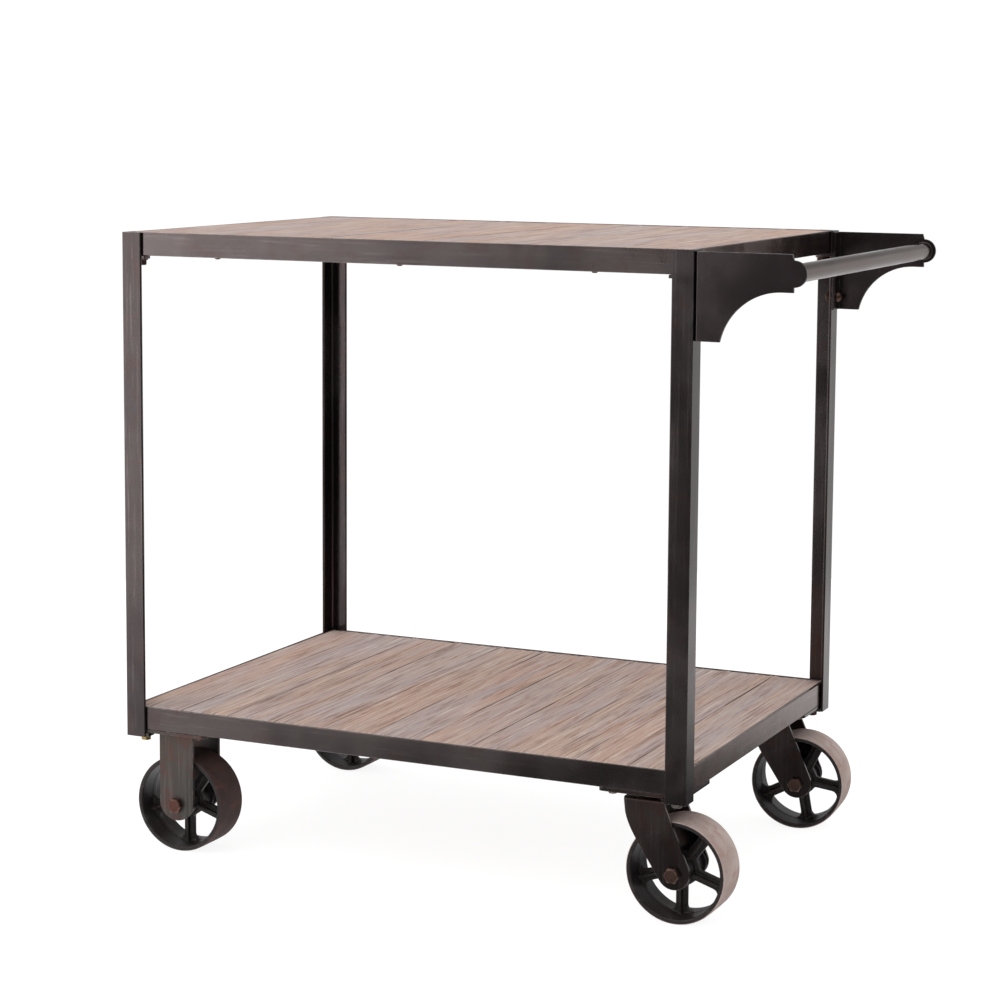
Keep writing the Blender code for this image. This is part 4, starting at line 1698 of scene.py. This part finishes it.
@dataclass
class Casters(Assembly):
    """Two rigid and two swivel casters with their wheels and fasteners."""

    sheet: float = 0.0045
    leg_inner: float = 0.033
    bend_radius: float = 0.004
    plate_corner: float = 0.006
    plate_bolt_inset: float = 0.0152
    plate_bolt_apothem: float = 0.0055
    plate_bolt_head: float = 0.0052
    plate_bolt_shank: float = 0.0035
    plate_bolt_rise: float = 0.0045
    plate_bolt_flange: tuple[float, float] = (0.0068, 0.0012)
    swivel_width: float = 0.058
    rigid_width: float = 0.055
    rigid_rise: float = 0.005
    end_radius: float = 0.0225
    end_shift: Point = (0.0005, 0.002)
    brow_drop: float = 0.009
    hip: Point = (-0.0268, -0.020)
    shoulder: Point = (-0.0235, -0.036)
    race_radius: float = 0.026
    race_height: float = 0.0065
    fork_bead: float = 0.0016
    fork_bead_inset: float = 0.003
    pin_head: float = 0.010
    pin_shank: float = 0.006
    axle_apothem: float = 0.0095
    axle_shank: float = 0.006
    axle_head: float = 0.0075
    axle_nut: float = 0.010
    axle_tail: float = 0.003
    axle_nut_bore: float = 0.0063
    # Darker tread colours of the left wheels: painted shade, for the wheels that stand under the cart.
    left_tread: tuple[Colour, Colour, Colour] = (tint("4f3d3a"), tint("362a28"), tint("5a3832"))
    back_right_spin: float = -10.0
    wheel: SpokedWheel = field(default_factory=SpokedWheel)

    def build(self) -> None:
        """Build and dress every caster."""
        casting = self.wheel.mesh()
        for side in Side:
            self.build_rigid(side)
            self.build_swivel(side)
            for end in End:
                self.build_wheel(side, end, casting)
                self.build_axle(side, end)
                self.build_plate_bolts(side, end)

    @property
    def leg_outer(self) -> float:
        """Distance from a fork's middle to the outside of its leg."""
        return self.leg_inner + self.sheet

    def plate(self, name: str, low: Vector, high: Vector, top: float) -> bpy.types.Object:
        """Caster plate with rounded corners.

        Args:
            name: its name.
            low: lower corner of its node's box.
            high: upper corner of that box.
            top: height of its upper face.

        Returns:
            The plate.
        """
        half_x, half_y = (high.x - low.x) / 2, (high.y - low.y) / 2
        corner = self.plate_corner
        corners = [(-half_x, -half_y, corner), (half_x, -half_y, corner), (half_x, half_y, corner),
                   (-half_x, half_y, corner)]
        middle = (low + high) / 2
        place = Matrix.Translation((middle.x, middle.y, top - PLATE_THICKNESS))
        plate = solid(name, prism(filleted(corners, 8), 0, PLATE_THICKNESS), place)
        ease(plate, 0.0006, 2, 50)
        return plate

    def channel(self, name: str, outline: Sequence[Point], place: Matrix) -> bpy.types.Object:
        """Bend a fork from its side view: two legs joined by a bridge with rounded bends.

        Args:
            name: its name.
            outline: its side view in XZ, zero at the top of its bridge.
            place: where that zero stands.

        Returns:
            The fork.
        """
        outer, inner = self.leg_outer, self.leg_inner
        fork = solid(name, prism(outline, -outer, outer, Run.Y), place)
        bm = bmesh.new()
        bm.from_mesh(fork.data)
        tops = [edge for edge in bm.edges
                if all(abs(vert.co.z) < 1e-6 for vert in edge.verts)
                and abs(edge.verts[0].co.x - edge.verts[1].co.x) > 0.02]
        bmesh.ops.bevel(bm, geom=tops, offset=self.bend_radius, segments=6, profile=0.5, affect="EDGES")
        bm.to_mesh(fork.data)
        bm.free()
        reach = 0.2
        space = filleted([(-inner, -reach, 0), (inner, -reach, 0), (inner, -self.sheet, 0.002),
                          (-inner, -self.sheet, 0.002)], 5)
        work(fork, [prism(space, -reach, reach, Run.X)], "DIFFERENCE")
        ease(fork, 0.0005, 2)
        return fork

    def build_rigid(self, side: Side) -> None:
        """Plate and straight fork in one, welded together.

        Args:
            side: the caster's side of the cart.
        """
        node = f"rigid_fork_{side.label}_left"
        low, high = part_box(node)
        plate = self.plate(node, low, high, high.z)
        axle = Vector(JOINTS[f"roll_{side.label}_left"]["pos_m"])
        under = high.z - PLATE_THICKNESS
        drop = axle.z + self.rigid_rise - under
        half = self.rigid_width / 2
        outline = [(half, 0), (-half, 0)] + arc_to((0, drop), (-half, drop), (0, drop - half), 16)
        outline += arc_to((0, drop), (0, drop - half), (half, drop), 16)[1:]
        fork = self.channel("fork", outline, Matrix.Translation((axle.x, axle.y, under)))
        reach = half - self.fork_bead_inset
        beads = []
        for hand in (-1, 1):
            y = axle.y + hand * (self.leg_outer - 0.0005)
            start, end = Vector((axle.x - reach, y, under)), Vector((axle.x + reach, y, under))
            beads.append(solid("bead", bead(start, end, self.fork_bead, hand + side.value * 3)))
            settle(beads[-1], 60)
        piece = merge(f"{node}_welded", [plate, fork, *beads])
        finish = PATINA_STEEL if side is Side.FRONT else FORK_STEEL
        self.fit(piece, finish, "cart", Slot.IRON, node)

    def swivel_outline(self, trail: float, axle_drop: float) -> list[Point]:
        """Side view of a trailing fork about its kingpin, zero at the top of its bridge.

        Args:
            trail: how far the axle stands off the kingpin.
            axle_drop: depth of the axle below the bridge's top.

        Returns:
            Points in XZ.
        """
        half = self.swivel_width / 2
        centre = (trail + self.end_shift[0], self.end_shift[1] - axle_drop)
        brow = (half, -self.brow_drop)
        right = touch_point(brow, centre, self.end_radius, -1)
        left = touch_point(self.shoulder, centre, self.end_radius, 1)
        lowest = (centre[0], centre[1] - self.end_radius)
        points = [brow, (half, 0), (-half, 0)]
        hip, shoulder = Vector(self.hip), Vector(self.shoulder)
        past = shoulder.lerp(Vector(left), 0.3)
        rows = 10
        for row in range(rows + 1):
            share = row / rows
            points.append(tuple(hip.lerp(shoulder, share).lerp(shoulder.lerp(past, share), share)))
        points += arc_to(centre, left, lowest, 14)
        return points + arc_to(centre, lowest, right, 14)[1:]

    def build_swivel(self, side: Side) -> None:
        """Plate with race, kingpin, and the fork that swivels under them.

        Args:
            side: the caster's side of the cart.
        """
        axle = Vector(JOINTS[f"roll_{side.label}_right"]["pos_m"])
        kingpin = Vector(JOINTS[f"swivel_{side.label}"]["pos_m"])
        node = f"swivel_plate_{side.label}_right"
        low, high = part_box(node)
        plate = self.plate(node, low, high, high.z)
        race = solid("race", self.race_shape(), Matrix.Translation((kingpin.x, kingpin.y, low.z)))
        settle(race, 40)
        piece = merge(f"{node}_pressed", [plate, race])
        self.fit(piece, FORK_STEEL, "cart", Slot.IRON, node)

        pin = f"kingpin_{side.label}_right"
        shape = self.kingpin_shape(*(corner.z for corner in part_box(pin)))
        rivet = solid(f"{pin}_rivet", shape, Matrix.Translation((kingpin.x, kingpin.y, 0)))
        settle(rivet, 45)
        self.fit(rivet, BRONZED, "cart", Slot.BOLT, pin)

        node = f"swivel_fork_{side.label}_right"
        away = axle - kingpin
        yaw = math.atan2(away.y, away.x)
        outline = self.swivel_outline(math.hypot(away.x, away.y), -away.z)
        place = Matrix.Translation(kingpin) @ Matrix.Rotation(yaw, 4, "Z")
        fork = self.channel(node, outline, place)
        cup = solid("cup", self.cup_shape(), place)
        settle(cup, 40)
        piece = merge(f"{node}_bent", [fork, cup])
        self.fit(piece, FORK_STEEL, f"swivel_{side.label}", Slot.IRON, node)

    def kingpin_shape(self, low: float, high: float) -> bmesh.types.BMesh:
        """Kingpin with a domed head below and a riveted one above.

        Args:
            low: height of its lower end.
            high: height of its upper end.

        Returns:
            A closed solid.
        """
        head, shank = self.pin_head, self.pin_shank
        profile = [(head * 0.4, low), (head * 0.72, low + 0.0004), (head * 0.94, low + 0.0022),
                   (head, low + 0.0045), (head, low + 0.0067), (shank, low + 0.0069),
                   (shank, high - 0.0032), (head, high - 0.003), (head * 0.92, high - 0.0012),
                   (head * 0.7, high - 0.0002), (head * 0.3, high)]
        return lathe(profile, 40)

    def race_shape(self) -> bmesh.types.BMesh:
        """Pressed upper race with a rolled lip, zero at the plate's underside.

        Returns:
            A closed solid.
        """
        radius, depth = self.race_radius, self.race_height
        profile = [(0.0063, 0.001), (radius, 0.001), (radius + 0.0004, -0.001), (radius, -depth * 0.45),
                   (radius - 0.0012, -depth * 0.8), (radius - 0.003, -depth), (0.0063, -depth)]
        return lathe(profile, 64, hollow=True)

    def cup_shape(self) -> bmesh.types.BMesh:
        """Shallow dust cup under the bridge, round the kingpin.

        Returns:
            A closed solid.
        """
        top = -self.sheet + 0.0004
        profile = [(0.0115, top), (0.016, top), (0.0155, top - 0.0016), (0.0118, top - 0.0018)]
        return lathe(profile, 48, hollow=True)

    def build_wheel(self, side: Side, end: End, casting: bpy.types.Mesh) -> None:
        """Set a wheel on its axle, turned as its frame node is.

        Args:
            side: the wheel's side of the cart.
            end: its end of the cart.
            casting: the wheel's mesh.
        """
        label = f"{side.label}_{end.label}"
        spin = self.back_right_spin if label == "back_right" else 0.0
        mesh = casting.copy()
        mesh.transform(Matrix.Rotation(math.radians(spin), 4, "Y"))
        wheel = bpy.data.objects.new(f"wheel_{label}_casting", mesh)
        wheel.matrix_world = self.axle_place(label)
        bpy.context.scene.collection.objects.link(wheel)
        edge = self.wheel.radius - self.wheel.tread_edge
        # Right wheels take the lighter tread, painted light; left wheels take the darker tread, painted
        # shade.
        if end is End.RIGHT:
            finish = CastIron("cast_iron_dusty", edge)
        else:
            tread, dark, red = self.left_tread
            finish = CastIron("cast_iron_oiled", edge, tread=tread, tread_dark=dark, tread_red=red)
        self.fit(wheel, finish, f"wheel_{label}", Slot.WHEEL, f"wheel_{label}")

    @staticmethod
    def axle_place(label: str) -> Matrix:
        """Middle of an axle, with Y along it.

        Args:
            label: the wheel's side and end.

        Returns:
            The place.
        """
        joint = JOINTS[f"roll_{label}"]
        turn = Matrix.Rotation(yaw_of(Vector(joint["axis"])), 4, "Z")
        return Matrix.Translation(joint["pos_m"]) @ turn

    def build_axle(self, side: Side, end: End) -> None:
        """Axle bolt and nut of one wheel.

        Args:
            side: the wheel's side of the cart.
            end: its end of the cart.
        """
        label = f"{side.label}_{end.label}"
        body = "cart" if end is End.LEFT else f"swivel_{side.label}"
        finish = RED_BRONZED if end is End.LEFT else BRONZED
        outer = self.leg_outer + GAP
        tip = outer + self.axle_nut + self.axle_tail
        head = (-outer - self.axle_head, -outer)
        shapes = {"bolt": hex_bolt(self.axle_apothem, head, self.axle_shank, tip, Run.Y),
                  "nut": hex_nut(self.axle_nut_bore, self.axle_apothem, outer, outer + self.axle_nut, Run.Y)}
        for kind, shape in shapes.items():
            piece = solid(f"axle_{kind}_{label}_hex", shape, self.axle_place(label))
            settle(piece, 30)
            self.fit(piece, finish, body, Slot.BOLT, f"axle_{kind}_{label}")

    def build_plate_bolts(self, side: Side, end: End) -> None:
        """The three bolts of a caster plate besides its corner bolt.

        Args:
            side: the caster's side of the cart.
            end: its end of the cart.
        """
        node = f"rigid_fork_{side.label}_left" if end is End.LEFT else f"swivel_plate_{side.label}_right"
        low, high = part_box(node)
        middle = (low + high) / 2
        under = high.z - PLATE_THICKNESS
        inset = self.plate_bolt_inset
        heads = []
        for x in (low.x + inset, high.x - inset):
            for y in (low.y + inset, high.y - inset):
                if (x - middle.x) * end.value > 0 and (y - middle.y) * side.value > 0:
                    continue
                shape = hex_bolt(self.plate_bolt_apothem, (under - self.plate_bolt_head, under - 0.0002),
                                 self.plate_bolt_shank, high.z + self.plate_bolt_rise, Run.Z,
                                 self.plate_bolt_flange)
                head = solid("head", shape, Matrix.Translation((x, y, 0)))
                settle(head, 30)
                heads.append(head)
        piece = merge(f"plate_bolts_{side.label}_{end.label}", heads)
        self.fit(piece, BRIGHT_ZINC if end is End.RIGHT else BRONZED, "cart", Slot.BOLT)


# The studio

@dataclass
class Studio:
    """Pale floor, soft light and the camera."""

    floor_reach: float = 2.2
    floor_tone: Colour = (0.86, 0.86, 0.865)
    bounce_tone: Colour = (0.22, 0.22, 0.22)
    backdrop: Colour = (1.02, 1.02, 1.02)
    eye: tuple[float, float, float] = (1.4684, -3.3009, 1.0607)
    azimuth: float = 24.79
    elevation: float = 6.58
    roll: float = 0.387
    lens: float = 91.53
    shift: float = -0.1
    sun_strength: float = 0.8
    sun_breadth: float = 50.0
    sun_lean: Point = (38.0, -22.0)
    dome_strength: float = 1.0
    floor_glow: float = 0.89

    def build(self) -> None:
        """Lay the floor, light it and set the camera."""
        self.lay_floor()
        self.light()
        self.set_camera()

    def lay_floor(self) -> None:
        """Round floor under the wheels."""
        bm = bmesh.new()
        bmesh.ops.create_circle(bm, cap_ends=True, segments=96, radius=self.floor_reach)
        floor = solid("studio_floor", bm, Matrix.Translation((0, 0, -0.0004)))
        floor.data.materials.append(self.floor_material())

    def floor_material(self) -> bpy.types.Material:
        """Lit paper: glowing to the eye, bright below and to the left in reflections.

        Returns:
            The material.
        """
        material, wiring, shader = new_material("studio_floor")
        place = wiring.add("TexCoord").outputs["Object"]
        split = wiring.add("SeparateXYZ", {"Vector": place}).outputs
        path = wiring.add("LightPath").outputs
        seen, mirrored = path["Is Camera Ray"], path["Is Glossy Ray"]
        tone = wiring.mix(seen, self.floor_tone, self.bounce_tone)
        wiring.feed(shader.inputs["Base Color"], wiring.mix(mirrored, tone, (0.0, 0.0, 0.0)))
        shader.inputs["Roughness"].default_value = 0.9
        shader.inputs["Specular IOR Level"].default_value = 0.0
        steep = wiring.spread(wiring.add("LayerWeight").outputs["Facing"], 0.75, 0.35, 0.0, 0.8)
        left = wiring.spread(split["X"], 0.0, -0.95, 0.10, 1.0)
        back = wiring.spread(split["Y"], 0.2, 1.2, 0.0, 1.1)
        glow = wiring.number("ADD", steep, left)
        glow = wiring.number("MAXIMUM", glow, back)
        glow = wiring.number("MULTIPLY", glow, mirrored)
        lit = wiring.number("MULTIPLY", seen, self.floor_glow)
        wiring.feed(shader.inputs["Emission Strength"], wiring.number("ADD", glow, lit))
        shader.inputs["Emission Color"].default_value = (1.0, 1.0, 1.0, 1.0)
        return material

    def light(self) -> None:
        """White dome, darker in front for reflections, and one broad sun."""
        world = bpy.data.worlds.new("studio")
        bpy.context.scene.world = world
        world.use_nodes = True
        wiring = Wiring(world.node_tree)
        shader = world.node_tree.nodes["Background"]
        way = wiring.add("TexCoord").outputs["Generated"]
        split = wiring.add("SeparateXYZ", {"Vector": way}).outputs
        gap = wiring.spread(split["Z"], 0.10, 0.34, 0.66, 0.20)
        back = wiring.number("MULTIPLY", wiring.spread(split["Y"], -0.1, 0.4), gap)
        left = wiring.spread(split["X"], -0.40, -0.53, 0.14, 2.7)
        fall = wiring.spread(split["X"], -0.70, -0.54, 0.3, 1.0)
        box = wiring.number("MULTIPLY", left, fall)
        front = wiring.spread(split["Y"], 0.1, -0.3, 0.0, 1.0)
        box = wiring.number("MULTIPLY", box, front)
        above = wiring.spread(split["Z"], 0.35, 0.8, 0.07, 1.0)
        lit = wiring.number("ADD", back, box)
        lit = wiring.number("ADD", lit, above)
        path = wiring.add("LightPath").outputs
        share = wiring.mix(path["Is Glossy Ray"], (1.0, 1.0, 1.0), lit)
        share = wiring.mix(path["Is Camera Ray"], share, self.backdrop)
        wiring.feed(shader.inputs["Color"], share)
        shader.inputs["Strength"].default_value = self.dome_strength
        lamp = bpy.data.lights.new("broad_sun", "SUN")
        lamp.energy = self.sun_strength
        lamp.angle = math.radians(self.sun_breadth)
        sun = bpy.data.objects.new("broad_sun", lamp)
        sun.rotation_euler = (math.radians(self.sun_lean[0]), math.radians(self.sun_lean[1]), 0)
        sun.visible_glossy = False
        bpy.context.scene.collection.objects.link(sun)

    def set_camera(self) -> None:
        """Set the camera in front, to the right and a little above."""
        lens = bpy.data.cameras.new("camera")
        lens.lens = self.lens
        lens.sensor_width = 36.0
        lens.shift_y = self.shift
        camera = bpy.data.objects.new("camera", lens)
        azimuth, elevation = math.radians(self.azimuth), math.radians(self.elevation)
        level = math.cos(elevation)
        back = Vector((math.sin(azimuth) * level, -math.cos(azimuth) * level, math.sin(elevation)))
        aim = back.to_track_quat("Z", "Y").to_matrix().to_4x4()
        roll = Matrix.Rotation(math.radians(self.roll), 4, "Z")
        camera.matrix_world = Matrix.Translation(self.eye) @ aim @ roll
        bpy.context.scene.collection.objects.link(camera)
        bpy.context.scene.camera = camera
        bpy.context.scene.view_settings.view_transform = "Standard"


def main() -> None:
    """Build and dress the cart and set the studio round it."""
    logging.basicConfig(level=logging.INFO, format="%(name)s: %(message)s")
    stock = Stock(Groups.build())
    Posts(stock).build()
    DeckFrames(stock).build()
    Boards(stock, deck="top", seed=3.0).build()
    Boards(stock, deck="lower", seed=8.0).build()
    Handle(stock).build()
    CornerBolts(stock).build()
    Casters(stock).build()
    Studio().build()


if __name__ == "__main__":
    main()
